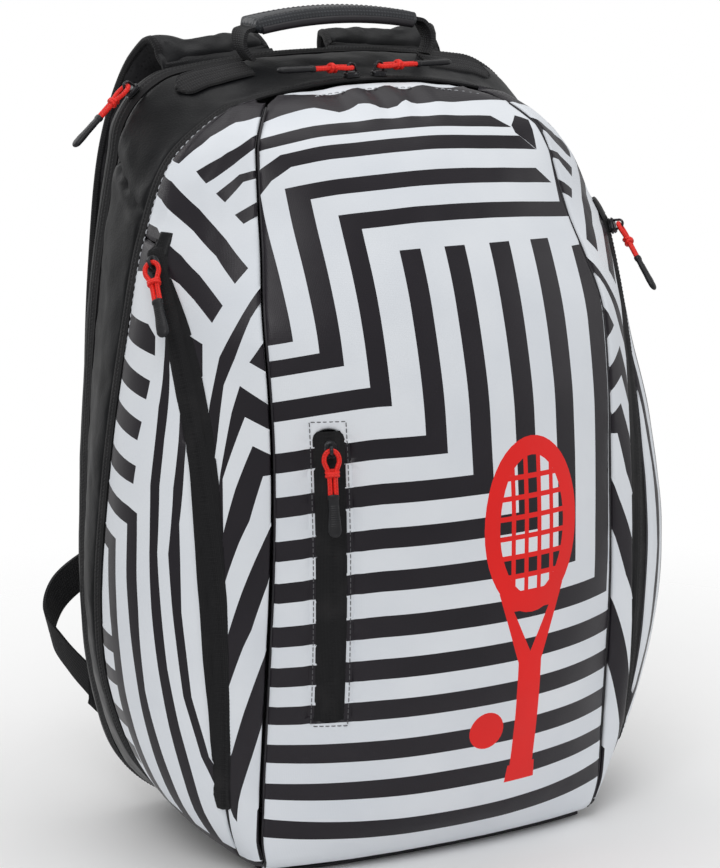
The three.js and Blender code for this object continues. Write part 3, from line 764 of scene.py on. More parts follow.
def coated_shell():
    look = Look("coated_shell_black", (0.005, 0.0052, 0.006), 0.42, specular=0.17, coat=0.01,
                coat_roughness=0.4)
    look.drift(45, 0.4, 0.8, (0.008, 0.0084, 0.010))
    look.vary_roughness(look.noise(14), 0.32, 0.50)
    look.add_bump(look.cells(1.3), 0.07)
    look.add_bump(look.noise(11, 4), 0.25, 0.7)
    return look.material


def textured(look, relief, depth, light=None, drift=None, gloss=None):
    """A plain look with one relief, depth mm deep, whose high parts take the light colour: painted light on
    the raised parts of the relief, with painted shade left in its hollows.

    drift is (size, low, high, colour) and gloss is (size, low roughness, high roughness).
    """
    if light is not None:
        look.vary_color(relief, light)
    if drift is not None:
        look.drift(*drift)
    if gloss is not None:
        look.vary_roughness(look.noise(gloss[0]), *gloss[1:])
    look.add_bump(relief, depth)
    return look.material


def zip_tape():
    look = Look("zip_tape_black", (0.007, 0.007, 0.008), 0.72, specular=0.2, sheen=0.02)
    # The lighter colour is painted light on the raised threads of the weave.
    return textured(look, look.weave(0.8), 0.10, (0.020, 0.020, 0.021), (22, 0.5, 0.9, (0.024, 0.023, 0.024)))


def webbing_look():
    look = Look("webbing_black", (0.008, 0.008, 0.009), 0.7, specular=0.25, sheen=0.03)
    # The lighter colour is painted light on the raised threads of the weave.
    return textured(look, look.threads(1.5, 2.4), 0.35, (0.020, 0.020, 0.022),
                    (30, 0.5, 0.9, (0.026, 0.025, 0.025)))


def mesh_look():
    """Air mesh: rows of small open cells over foam, their insides darkened as painted shade."""
    look = Look("air_mesh_black", (0.020, 0.020, 0.022), 0.85, specular=0.25, sheen=0.05)
    cells = look.cells(2.6)
    # Painted shade: the middles of the cells are darkened where the holes would lie in shade.
    look.vary_color(look.soften(cells, 0.34, 0.12), (0.004, 0.004, 0.005))
    return textured(look, cells, 0.25, drift=(40, 0.5, 0.9, (0.030, 0.030, 0.032)))


def cord_look():
    look = Look("cord_red", (0.80, 0.020, 0.014), 0.45, specular=0.25)
    # The lighter colour is painted light on the raised threads of the braid.
    return textured(look, look.threads(1.7, 1.7), 0.2, (0.92, 0.045, 0.03),
                    (6, 0.55, 0.9, (0.55, 0.015, 0.010)))


def plastic_look():
    look = Look("moulded_plastic_black", (0.010, 0.010, 0.012), 0.42, specular=0.35)
    return textured(look, look.cells(0.5), 0.03, drift=(12, 0.5, 0.9, (0.022, 0.022, 0.024)),
                    gloss=(5, 0.34, 0.52))


def metal_look():
    """Blackened metal, paler in small patches."""
    look = Look("zip_metal_black", (0.030, 0.030, 0.033), 0.3, metallic=0.75)
    return textured(look, look.noise(1.2), 0.03, drift=(3, 0.58, 0.72, (0.14, 0.14, 0.145)),
                    gloss=(4, 0.22, 0.42))


def grip_look():
    """Slate-grey coated fabric with a visible square weave."""
    look = Look("grip_grey", (0.020, 0.022, 0.026), 0.42, specular=0.4, coat=0.05)
    # The lighter colour is painted light on the raised weave, standing for its highlights.
    return textured(look, look.weave(2.0), 0.22, (0.042, 0.046, 0.053),
                    (25, 0.5, 0.85, (0.016, 0.018, 0.021)))


def lining_look():
    look = Look("lining_grey", (0.075, 0.075, 0.085), 0.75, sheen=0.2)
    # The lighter colour is painted light on the raised threads of the weave.
    return textured(look, look.weave(0.7), 0.06, (0.11, 0.11, 0.12))


def board_look():
    look = Look("stiffener_grey", (0.15, 0.15, 0.16), 0.6)
    return textured(look, look.cells(1.0), 0.05, drift=(20, 0.4, 0.8, (0.19, 0.19, 0.20)))


def thread_look(name, color):
    look = Look(name, color, 0.6, sheen=0.2)
    look.vary_color(look.noise(2), tuple(c * 0.7 for c in color))
    return textured(look, look.wave(0.5, "X"), 0.1)


WHITE = cloth_look("coated_cloth_white", (0.77, 0.80, 0.84), (0.70, 0.735, 0.785), 0.42)
BLACK = cloth_look("coated_cloth_black", (0.010, 0.008, 0.012), (0.016, 0.013, 0.018), 0.36)
RED = cloth_look("printed_ink_red", (0.84, 0.010, 0.008), (0.76, 0.012, 0.010), 0.46)
PIPING = cloth_look("piping_black", (0.014, 0.013, 0.016), (0.024, 0.022, 0.026), 0.45)
SHELL = coated_shell()
TAPE = zip_tape()
WEB = webbing_look()
MESH = mesh_look()
CORD_RED = cord_look()
PLASTIC = plastic_look()
METAL = metal_look()
GRIP = grip_look()
LINING = lining_look()
BOARD = board_look()
THREAD = thread_look("thread_grey", (0.10, 0.10, 0.11))
THREAD_WHITE = thread_look("thread_white", (0.62, 0.64, 0.68))

# ---------- striped front panel ----------
# The pattern is drawn as straight bars and then warped a little, as it lies on the domed panel.
left_drop = profile([(75, 0), (130, 4), (235, 7), (320, 7), (400, 3)])


def warp(polygon):
    out = []
    for x, z in densify(polygon, 8):
        sag = 6 * (x / 110)**2 * min(max((62 - z) / 30, 0), 1)
        drop = left_drop(z) * min(max((-x - 55) / 55, 0), 1)**1.4
        top = 6.5 * (x / 95)**2 * min(max((z - 350) / 30, 0), 1)
        out.append((x, float(z + sag - drop - top)))
    return out


def front_stripes():
    """Black areas: plain bands, bands that turn up into bars, and frames round the upper left."""
    far = 125                     # beyond the panel's edges
    shapes = [bar(-far, far, z0, z1) for z0, z1 in
              ((22.5, 34.5), (50, 62.3), (75, 87.3), (100.5, 112.3), (125, 137.2))]
    for z0, z1, x0, x1, top in ((150, 162.6, 94.5, 109, 358), (177, 189, 60.8, 75.5, 365),
                                (202, 213.8, 30.5, 44.5, 365), (227.4, 239.2, 0.5, 13.8, 365),
                                (253, 264.3, -28, -15, 365)):
        shapes.append([(-far, z0), (x1, z0), (x1, top), (x0, top), (x0, z1), (-far, z1)])
    shapes.append([(-far, 282), (-47, 282), (-47, 378.5), (106, 378.5), (106, 424), (95, 424),
                   (95, 387), (-58.5, 387), (-58.5, 293), (-far, 293)])
    shapes.append([(-far, 306.5), (-71.5, 306.5), (-71.5, 397.5), (91, 397.5), (80, 405.5),
                   (-84, 405.5), (-84, 315.5), (-far, 315.5)])
    shapes.append([(-far, 324), (-97, 324), (-97, 405), (-90, 411), (-78, 415.8), (84, 415.8), (74, 423),
                   (-82, 423), (-94, 418.5), (-111, 409), (-111, 334), (-far, 334)])
    shapes.append([(71.5, 428.5), (72, 424.5), (84.5, 415.8), (86.5, 432), (78, 434)])
    shapes.append([(-far, 427.5), (71, 427.5), (60, 433.2), (-far, 433.2)])
    scallops = [(-far, 440), (-66, 440.5), (-50, 441), (-36, 438.6), (-22, 441), (-10, 438.6), (1, 438.4),
                (9, 441), (24, 439.4), (60, 441), (far, 443)]
    shapes.append(scallops + [(far, 452), (72, 448.6), (50, 446.6), (0, 447.6), (-50, 446.6), (-72, 448.6),
                              (-far, 452)])
    return [([warp(s)], 1) for s in shapes]


def ellipse(x, z, rx, rz, count=44):
    angles = [2 * math.pi * i / count for i in range(count)]
    return [(x + rx * math.cos(a), z + rz * math.sin(a)) for a in angles]


def emblem():
    """A generic racket and ball: frame, strings, throat, grip with a wider end, and the ball."""
    x, z, rx, rz = 41, 205, 24.5, 42
    string = 1.5
    areas = [[ellipse(x, z, 34, 52), ellipse(x, z, 23.5, 41)]]
    for offset in (-14, -4.7, 4.7, 14):
        half = rz * math.sqrt(1 - (offset / rx)**2)
        areas.append([bar(x + offset - string, x + offset + string, z - half, z + half)])
    for offset in (-29, -17.4, -5.8, 5.8, 17.4, 29):
        half = rx * math.sqrt(1 - (offset / rz)**2)
        areas.append([bar(x - half, x + half, z + offset - string, z + offset + string)])
    throat = [[(x - 23.5, z - 38), (x + 23.5, z - 38), (x + 8.5, z - 82), (x - 8.5, z - 82)],
              [(x - 13, z - 50), (x + 13, z - 50), (x, z - 76)]]
    grip_end = [(x - 11, 47), (x + 11, 47), (x + 10, 58), (x - 10, 58)]
    ball = ellipse(x - 28, 84, 11.5, 11.5, 28)
    areas += [throat, [bar(x - 8.5, x + 8.5, 56, z - 80)], [grip_end], [ball]]
    return [(loops, 2) for loops in areas]


def front_outline():
    z = np.concatenate([np.linspace(4, 40, 8), np.linspace(55, 425, 26), [432, 438, 442]])
    right = [(float(seam_x(v)) - 1.1, float(v)) for v in z]
    top = [(float(x), float(top_arc(x)) - 1.3) for x in np.linspace(62, -62, 18)]
    return right + top + [(-x, v) for x, v in right[::-1]]


def slot_loop(half, low, high):
    """The opening round the pocket zip, with rounded ends."""
    x = POCKET_ZIP["x"]
    arc = [(x + half * math.cos(a), high - half * (1 - math.sin(a)) * 0.8)
           for a in np.linspace(0, math.pi, 9)]
    return arc + [(x - half, low), (x + half, low)]


def front_relief(flat, points):
    """Gathers under the top edge, a soft ridge beside the pocket, and slow dents."""
    x, z = flat[:, 0], flat[:, 1]
    near_top = smooth(z, 428, 444) * (1 - smooth(z, 446, 451))
    gathers = 1.6 * near_top * np.sin(x / 5.2 + 2.2 * np.sin(x / 19)) * (1 - smooth(x, 15, 60))
    flap = -1.5 * hump(np.abs(x - POCKET_ZIP["x"]), 11.5, 1.1)
    flap *= smooth(z, 94, 98) * (1 - smooth(z, 274, 278))
    folds = 0.9 * turbulence(points * (1, 1, 0.6), 34, 9) * smooth(z, 330, 400)
    return gathers + flap + folds


panel("front_panel", [front_outline(), slot_loop(7.6, 101, 271)], front_point, [WHITE, BLACK, RED, LINING],
      front_stripes() + emblem(), step=4.2, roll=1.5, relief=front_relief, slot="striped_fabric")

# ---------- striped side panels ----------
# Black areas by (u, z), with u 0 at the front seam, 1 at the side zip and 2 at the main zip.
GUSSET_BLACK = [
    [(-0.1, 437), (0.5, 433), (0.78, 425), (1, 410), (1, 460), (-0.1, 460)],
    [(1, 410), (2.1, 412), (2.1, 460), (1, 460)],
    [(-0.1, 428.5), (0, 428), (0.4, 418), (0.73, 406.7), (0.575, 400.7), (0.2, 415), (0, 421), (-0.1, 421.5)],
    [(-0.1, 411), (0.2, 407), (0.45, 395.7), (0.345, 391.3), (0.15, 403), (-0.1, 406.5)],
    [(-0.1, 395), (0, 392.5), (0.24, 385), (0.15, 380.3), (0, 385), (-0.1, 386)],
    [(0.11, 357.7), (0.325, 371.7), (0.625, 386.7), (1, 400), (2.1, 404.5), (2.1, 393.5), (1.4, 390),
     (1, 385.7), (0.675, 375), (0.41, 363.3), (0.24, 349.3)],
    [(0.38, 337.7), (0.575, 353.3), (0.75, 362.7), (1, 370.7), (1.4, 375), (2.1, 377), (2.1, 366),
     (1.2, 362), (0.8, 348), (0.675, 340), (0.52, 328.3)],
    [(-0.1, 352), (0, 348), (0.3, 325), (0.5, 310), (0.75, 279), (0.95, 256), (0.95, 226), (0.75, 255),
     (0.6875, 264), (0.5, 295), (0.325, 310), (0.11, 331.7), (0, 340), (-0.1, 345)],
    [(0.67, 316.5), (1, 326), (1, 290), (0.74, 299)],
    [(-0.1, 334), (0, 319), (0.09, 313), (0.17, 308), (0, 303), (-0.1, 302)],
    [(-0.1, 282), (0, 285), (0.31, 295), (0.45, 280), (0.7, 246), (0.95, 205), (0.95, 178), (0.75, 213),
     (0.675, 243), (0.29, 278), (0, 271), (-0.1, 269)],
    [(-0.1, 256), (0, 257), (0.225, 262), (0.5, 238), (0.75, 213), (1, 186), (1, 160), (0.8, 185),
     (0.5, 208), (0.325, 220), (0.11, 245), (-0.1, 246)],
    [(-0.1, 224), (0, 217), (0.15, 205), (0.5, 179), (0.875, 150), (1, 140), (1, 114), (0.95, 117),
     (0.65, 137), (0.5, 147), (0.325, 157), (0.15, 173), (0, 187), (-0.1, 194)],
    [(-0.1, 151), (0, 144), (0.35, 118), (0.5, 107), (0.8, 83), (1, 74), (1, 58), (0.8, 45), (0.7, 41.7),
     (0.6, 53), (0.25, 80), (0, 101.7), (-0.1, 110)],
    [(-0.1, 50), (0.07, 46), (0.1, 27), (0.08, 14), (-0.1, 12)],
    [(-0.1, 13), (0.3, 13), (0.6, 14), (0.85, 15.5), (1.1, 18), (1.1, -5), (-0.1, -5)],
]
POCKET_BLACK = [
    [(0.9, 344), (1.15, 347), (1.5, 352), (2.1, 349), (2.1, 372), (0.9, 372)],
    [(0.9, 300), (1.05, 292), (1.125, 263), (1.2, 237), (1.26, 200), (1.25, 167), (1.225, 117), (1.15, 80),
     (1.03, 52), (0.9, 44), (0.9, 56), (1.02, 66), (1.1, 80), (1.175, 117), (1.195, 167), (1.175, 217),
     (1.1, 250), (1.0, 288)],
    [(0.98, 330), (1.1, 322), (1.2, 303), (1.3, 280), (1.39, 237), (1.4, 200), (1.395, 167), (1.375, 133),
     (1.35, 97), (1.3, 45), (1.22, 15), (1.1, 15), (1.2, 45), (1.275, 97), (1.31, 133), (1.325, 167),
     (1.3375, 200), (1.31, 237), (1.25, 263), (1.125, 303), (1.04, 320), (0.98, 322)],
    [(1.28, 318), (1.4, 324), (2.1, 327), (2.1, 315), (1.31, 307.5)],
    [(1.4, 293.5), (2.1, 303), (2.1, 290.5), (1.45, 283)],
    [(1.49, 270.5), (2.1, 279.5), (2.1, 267.5), (1.53, 260)],
    [(1.53, 246), (2.1, 254), (2.1, 242), (1.555, 235.7)],
    [(1.51, 220), (1.6, 222.7), (2.1, 231), (2.1, 221), (1.61, 212.7), (1.59, 167), (1.5625, 117),
     (1.53, 45), (1.49, 18), (1.37, 18), (1.42, 45), (1.5, 117), (1.5, 167)],
    [(1.7375, 201.7), (2.1, 206), (2.1, 195.5), (1.86, 193), (1.8, 150), (1.79, 117), (1.77, 45),
     (1.76, 20), (1.64, 20), (1.66, 45), (1.7, 117), (1.7125, 167)],
    [(1.79, 143), (2.1, 144), (2.1, 132), (1.79, 133)],
    [(1.77, 122), (2.1, 123), (2.1, 112), (1.77, 113)],
    [(1.77, 97), (2.1, 98), (2.1, 87), (1.77, 86.7)],
    [(1.79, 74), (2.1, 75), (2.1, 63), (1.79, 62)],
    [(0.9, 17), (1.1, 24), (1.4, 33), (1.7, 43), (2.1, 57), (2.1, -5), (0.9, -5)],
]
# Edges of the panels beside the zip, as u by height: the front one differs from side to side.
zip_left_edge = profile([(8, 0.99), (48, 0.985), (60, 0.94), (100, 0.92), (150, 0.875), (180, 0.83),
                         (217, 0.78), (250, 0.75), (300, 0.77), (330, 0.82), (350, 0.88), (362, 0.93)])
zip_right_edge = profile([(8, 0.99), (48, 0.98), (64, 0.86), (110, 0.68), (160, 0.56), (230, 0.52),
                          (290, 0.56), (330, 0.68), (350, 0.82), (362, 0.93)])
zip_rear_edge = profile([(8, 1.01), (48, 1.015), (60, 1.06), (110, 1.09), (180, 1.09), (250, 1.07),
                         (366, 1.05)])


def black_areas(polygons):
    return [([[(u * U, z) for u, z in polygon]], 1) for polygon in polygons]


def by_height(edge, heights):
    """Points of an outline along an edge given as u by height."""
    return [(float(edge(z)) * U, float(z)) for z in heights]


def gusset_outline(zip_front_edge):
    z = np.concatenate([np.linspace(7, 40, 6), np.linspace(55, 425, 24), [433, 440, 443.5]])
    seam = [(0.2, float(v)) for v in z]
    rear_side = by_height(lambda v: 1.98 if v < 430 else 1.93, (443.5, 437, 425, 410, 395, 380, 368.8))
    zip_side = by_height(zip_front_edge, (364, 350, *range(330, 80, -30), 66, 56, 48, 36, 22, 9))
    return seam + rear_side + [(1.1 * U, 367.8), (0.99 * U, 366.2)] + zip_side


def pocket_outline():
    zip_side = by_height(zip_rear_edge, (10, 25, 40, 48, 56, 66, *range(90, 331, 30), 350, 362))
    rear_side = by_height(lambda v: 1.985, (368, 340, 300, 250, 200, 150, 100, 60, 35, 16))
    return zip_side + [(1.15 * U, 367)] + rear_side


def side_relief(flat, points):
    z = flat[:, 1]
    calm = 1 - 0.85 * smooth(flat[:, 0] / U, 1.7, 1.97)
    return calm * (0.8 * turbulence(points * (1, 1, 0.7), 40, 4)
                   + 0.9 * turbulence(points * (1.3, 1.3, 0.6), 18, 5) * smooth(z, 330, 400))


def below_slider(points):
    """Holds the top corner down beside the main zip, where its slider passes."""
    x, reach = np.abs(points[:, 0]), 92
    corner_part = points[:, 2] > 430
    near = smooth(points[:, 1], 12, 15) * (x < reach) * corner_part
    over = np.clip(points[:, 2] - top_arc(np.minimum(x, reach)) - 0.1, 0, None)
    points = points - vec(0, 0, over * near)
    points[:, 1] = np.where(corner_part, np.minimum(points[:, 1], BORDER_Y - 0.1), points[:, 1])
    return points


for side, sign in SIDES:
    shared = dict(place=side_point, materials=[WHITE, BLACK, LINING], relief=side_relief, sign=sign, roll=1.5,
                  slot="striped_fabric")
    edge = zip_right_edge if sign > 0 else zip_left_edge
    panel(f"{side}_front_gusset", [gusset_outline(edge)], areas=black_areas(GUSSET_BLACK), seed=5,
          fit=below_slider, **shared)
    panel(f"{side}_side_pocket", [pocket_outline()], areas=black_areas(POCKET_BLACK), seed=6, **shared)

# ---------- black shell, back edge and base ----------
ARCH = border.length


def shell_relief(flat, points):
    """Cross seams at the upper corners, with the cloth full on both sides of each, and creases."""
    k = flat[:, 0] / ARCH
    height = 0.9 * turbulence(points, 42, 11) + 0.5 * turbulence(points * (1, 2, 1), 14, 12)
    for seam in (0.352, 0.648):
        lean = (flat[:, 1] - 50) * 0.25 * (1 if seam > 0.5 else -1)
        away = np.abs((k - seam) * ARCH + lean)
        height += 1.1 * hump(away, 9, 8) - 1.9 * hump(away, 0, 2.0)
    height += 1.3 * np.sin(np.clip((flat[:, 1] - 26) / 47, 0, 1) * np.pi) * smooth(np.abs(k - 0.5), 0.5, 0.3)
    return height


panel("rear_shell", [bar(0.5, ARCH - 0.5, ZIP_TAPE_END_Y + 0.3, SHELL_END_Y - 0.3)], shell_flat,
      [SHELL, PIPING], step=4.5, relief=shell_relief, roll=1.8, pucker=0.35, seed=7, slot="coated_shell")
panel("base_panel", [bar(-BASE_HALF + 1, BASE_HALF - 1, 1, BASE_FLAT - 1)], base_point, [SHELL, PIPING],
      step=6, roll=0.8, pucker=0.1, flip=True, seed=8, slot="coated_shell")


def strip(name, grid, thickness, material, slot, flat, body="bag"):
    """A piece made of one thickened grid."""
    return Shape().grid(grid, thickness, flat).make(name, [material], slot, body)


def arch_grid(low, high, columns, rows):
    """Shares of the arch, depths and flat coordinates for a strip that runs over the bag."""
    k, v = np.meshgrid(np.linspace(0.001, 0.999, columns), np.linspace(low, high, rows))
    return k, v, np.stack([k * ARCH, v], -1)


def back_edge():
    rows = 10
    k, v, flat = arch_grid(0, 1, 300, rows)
    points = back_edge_point(k, v)
    normals = unit(np.cross(np.gradient(points, axis=1), np.gradient(points, axis=0)))
    swell = turbulence(points.reshape(-1, 3), 30, 13).reshape(points.shape[:2])
    points = points + normals * (0.5 * swell * np.sin(np.linspace(0, np.pi, rows))[:, None])[..., None]
    strip("back_edge", points, 1.6, SHELL, "coated_shell", flat)


back_edge()


# ---------- zips ----------
def ribbed(length, across, pitch=2.3):
    """Height of a covered zip: a raised middle with a groove, and fine ribs over the coil."""
    ridge = 0.6 * hump(np.abs(across), 1.9, 1.3)
    ribs = 0.28 * np.sin(2 * np.pi * length / pitch) * hump(across, 0, 3.4)
    edge = 0.3 * hump(np.abs(across), 6.0, 0.5)
    return ridge + ribs - edge


STEP = 0.85                     # mesh step along a zip, nearly three to a rib


def arch_zip(name, low, high):
    k, y, flat = arch_grid(low, high, int(ARCH / STEP), 13)
    height = ribbed(k * ARCH, y - (low + high) / 2)
    nx, nz = border.outward(k)
    strip(name, shell_point(k, y) + vec(nx * height, 0, nz * height), 1.1, TAPE, "zip_tape", flat)


arch_zip("main_zip", BORDER_Y - 0.3, ZIP_TAPE_END_Y)
arch_zip("rear_zip", SHELL_END_Y + 0.2, REAR_Y - 0.8)


def pocket_zip(start, end, half):
    """The front pocket's zip between two arc angles. Its tape lies lower beside the coil."""
    columns = int(math.radians(end - start) * np.linalg.norm(pocket.rest - pocket.pivot) / STEP)
    s, v = np.meshgrid(np.linspace(0, 1, columns), np.linspace(0, 1, 15))
    across = lerp(-half, half, v)
    length = s * columns * STEP
    height = ribbed(length, across) - 0.4 - 1.4 * smooth(np.abs(across), 3.5, 7)
    strip("front_pocket_zip", pocket.point(lerp(start, end, s), across, height), 1.0, TAPE, "zip_tape",
          np.stack([length, across], -1))


def side_zip(name, front_edge, sign):
    """The side zip's wide tape: it runs on under the panels on both sides of the coil."""
    columns, rows = 380, 25
    z, v = np.meshgrid(np.linspace(369, 50, columns), np.linspace(0, 1, rows))
    low, high = front_edge(z) - 0.07, zip_rear_edge(z) + 0.06
    flat = np.stack([lerp(low, high, v) * U, z], -1).reshape(-1, 2)
    length = z.reshape(-1)
    points = side_point(flat)
    middle = side_point(np.stack([np.full(z.size, float(U)), length], -1))
    across = np.linalg.norm(points - middle, axis=1) * np.sign(flat[:, 0] - U)
    dip = 1.5 * smooth(np.abs(across), 4.5, 9) + 1.6 * (smooth(v, 0.12, 0) + smooth(v, 0.86, 1)).reshape(-1)
    height = ribbed(length, across) - 0.4 - dip
    points = points + surface_normals(side_point, flat) * height[:, None]
    on_track = right_side.point(arc_angle(SIDE_ZIP, np.clip(length, 58, 366)), across, height)
    follow = (1 - smooth(np.abs(across), 5, 9)) * smooth(length, 57, 61) * (1 - smooth(length, 363, 366))
    points = lerp(points, on_track, follow[:, None]) * (sign, 1, 1)
    strip(name, points.reshape(rows, columns, 3), 1.0, TAPE, "zip_tape", np.stack([length, across], -1))


def zip_garage(name, sign):
    """Small folded cover over the top end of the side zip."""
    columns, rows = 17, 13
    u, v = np.meshgrid(np.linspace(-1, 1, columns), np.linspace(0, 1, rows))
    flat = np.stack([U * (1.0 + 0.12 * u), 373 - 9.5 * v - 2.0 * v * u * u], -1).reshape(-1, 2)
    dome = (0.8 + 1.0 * np.sqrt(np.clip(v, 0, 1))) * np.sqrt(np.clip(1 - u**2, 0, 1)) - 0.5
    points = (side_point(flat) + surface_normals(side_point, flat) * dome.reshape(-1, 1)) * (sign, 1, 1)
    strip(name, points.reshape(rows, columns, 3), 1.0, SHELL, "coated_shell", flat)


side_zip("right_side_zip", zip_right_edge, 1)
side_zip("left_side_zip", zip_left_edge, -1)
for side, sign in SIDES:
    zip_garage(f"{side}_zip_garage", sign)
pocket_zip(-0.65, float(arc_angle(POCKET_ZIP, POCKET_ZIP["bottom"])) + 0.35, 9.5)


# ---------- sliders and pullers ----------
HOLE = 6.4                      # height of the bail's hole over the tape
CORD = 24                       # length of the cord from the bail to the tip


def oval(rx, ry, z):
    """A rounded-corner loop in a plane of constant z, a little narrower towards -x."""
    x, y = squarish(24, 2 / 3, 2 / 3)
    return vec(rx * x, ry * y * (1 + 0.1 * x), z)


def slider_shape():
    """Die-cast slider: waisted body with a bevelled top, side flanges and an arched bail."""
    shape = Shape()
    layers = [(4.6, 3.2, 0.7), (4.9, 3.6, 0.95), (4.9, 3.6, 1.5), (4.3, 3.0, 1.7), (4.3, 3.0, 2.3),
              (4.9, 3.5, 2.5), (4.9, 3.5, 3.1), (4.4, 3.1, 3.55), (3.4, 2.3, 3.75)]
    shape.loft(np.array([oval(*layer) for layer in layers]))
    arch = [(3.1, 0, 3.0), (2.9, 0, 4.6)]
    arch += [(2.45 * math.cos(t), 0, HOLE + 2.45 * math.sin(t)) for t in np.linspace(0, np.pi, 15)]
    arch += [(-2.9, 0, 4.6), (-3.1, 0, 3.0)]
    shape.tube(spline(arch, 30), 0.75, sides=10, squash=1.35, up=(0, 1, 0))
    for y in (-2.9, 2.9):
        shape.tube([(-3.4, y, 3.2), (-3.0, y, 3.5), (3.2, y, 3.5), (3.8, y, 3.2)], 0.42, sides=8)
    return shape


def cord_shape():
    """A cord loop through the bail, knotted on itself, its two legs running side by side."""
    shape = Shape()
    leg = [(CORD + 1.5, 1.6, 0), (17, 1.6, 0.1), (12.5, 1.8, 0.2), (9.5, 3.0, 0.25), (6, 4.2, 0.1),
           (2.4, 3.6, 0), (0.5, 1.9, 0)]
    path = leg + [(0, 0, 0)] + [(x, -y, z) for x, y, z in leg[::-1]]
    shape.tube(spline(path, 84), 1.4, sides=12)
    a = around(26)
    for x, tilt in ((12.0, 0.7), (13.9, -0.5)):
        ring = vec(x + tilt * np.sin(a), 3.0 * np.cos(a), 1.9 * np.sin(a) + 0.1)
        shape.tube(ring, 1.25, sides=10, closed=True)
    return shape


def tip_shape():
    """Moulded finger tip with a collar, a shallow waist and grip ridges on both faces."""
    x = np.concatenate([np.linspace(0, 2.2, 6), np.linspace(2.6, 21, 70), np.linspace(21.3, 24, 12)])
    width = profile([(0, 2.6), (0.6, 3.2), (2.2, 3.3), (3.2, 2.9), (9, 2.9), (17, 3.5), (21, 3.6)])(x)
    thick = profile([(0, 1.6), (0.6, 2.0), (2.2, 2.0), (3.2, 1.6), (12, 1.6), (19, 1.8), (21, 1.8)])(x)
    end = np.sqrt(np.clip(1 - np.square(np.clip(x - 20.4, 0, None) / 3.75), 0.02, 1))
    ridges = 0.22 * np.sin(np.pi * (x - 6) / 1.25)**2 * smooth(x, 5.5, 6.5) * (1 - smooth(x, 17.5, 18.5))
    y, z = squarish(24, 0.7, 0.8)
    rings = vec((x + CORD + 0.3)[:, None], (width * end)[:, None] * y, ((thick + ridges) * end)[:, None] * z)
    return Shape().loft(rings)


def placed(matrix, direction, lift):
    """Frame of a puller in its slider: x leaves along the track, lift degrees off the tape."""
    lift = math.radians(lift)
    x = Vector((direction * math.cos(lift), 0, math.sin(lift)))
    y = Vector((0, direction, 0))
    turn = Matrix((x, y, x.cross(y))).transposed().to_4x4()
    return matrix @ Matrix.Translation((0, 0, HOLE)) @ turn


def in_metres(matrix):
    m = matrix.copy()
    m.translation = m.translation * MM
    return m


for name, track, direction, lift in (
        ("main_left", main_track(-1), 1, 2), ("main_right", main_track(1), 1, 2),
        ("rear", rear_track(), -1, 1), ("front_pocket", pocket, 1, 4),
        ("side_right", right_side, 1, 15), ("side_left", side_track(-1), 1, 15)):
    at = track.matrix()
    pull_at = in_metres(placed(at, direction, lift))
    slider_shape().make(f"{name}_slider", [METAL], "zip_metal", f"{name}_slider", matrix=in_metres(at))
    cord_shape().make(f"{name}_pull_cord", [CORD_RED], "pull_cord", f"{name}_puller", matrix=pull_at)
    tip_shape().make(f"{name}_pull_tip", [PLASTIC], "moulded_plastic", f"{name}_puller", matrix=pull_at)


# ---------- piping and stitches ----------
def stitches(name, path, normal, pitch, length, body="bag", material=THREAD, radius=0.28):
    """A row of short raised threads along a path. normal gives the outward direction at each point."""
    shape = Shape()
    path = np.asarray(path, float)
    along = arc_length(path)
    both = np.hstack([path, np.broadcast_to(np.asarray(normal, float), path.shape)])
    t = np.linspace(0, 1, 5)
    height = 0.35 * np.sin(np.pi * t) - 0.15
    for start in np.arange(pitch / 2, along[-1] - length, pitch):
        at = np.stack([np.interp(start + t * length, along, column) for column in both.T], 1)
        shape.tube(at[:, :3] + unit(at[:, 3:]) * height[:, None], radius, sides=6)
    return shape.make(name, [material], body=body)


def surface_stitches(name, place, flat, pitch, length, sign=1, **how):
    """Stitches along a line drawn on a surface."""
    path, normal = place(flat), surface_normals(place, flat)
    stitches(name, path * (sign, 1, 1), normal * (sign, 1, 1), pitch, length, **how)


heights = np.linspace(8, 440, 110)
for side, sign in SIDES:
    seam = vec(seam_x(heights) - 0.9, seam_y(heights) - 0.2, heights) + np.array([-0.5, 0.85, 0]) * 1.7
    Shape().tube(seam * (sign, 1, 1), 0.7).make(f"{side}_front_piping", [PIPING], "striped_fabric")
    line = np.stack([np.full(50, 1.93 * U), np.linspace(300, 436, 50)], 1)
    surface_stitches(f"{side}_border_stitches", side_point, line, 4.4, 2.5, sign, material=THREAD_WHITE,
                     radius=0.34)

across_top = np.linspace(-66, 66, 60)
surface_stitches("front_top_stitches", front_point, np.stack([across_top, top_arc(across_top) - 4.6], 1),
                 4.4, 2.6, material=THREAD_WHITE, radius=0.3)
around_slot = densify(bar(POCKET_ZIP["x"] - 9.6, POCKET_ZIP["x"] + 9.6, 98, 275), 4)
surface_stitches("front_pocket_stitches", front_point, np.array(around_slot + around_slot[:1]), 3.4, 2.2)


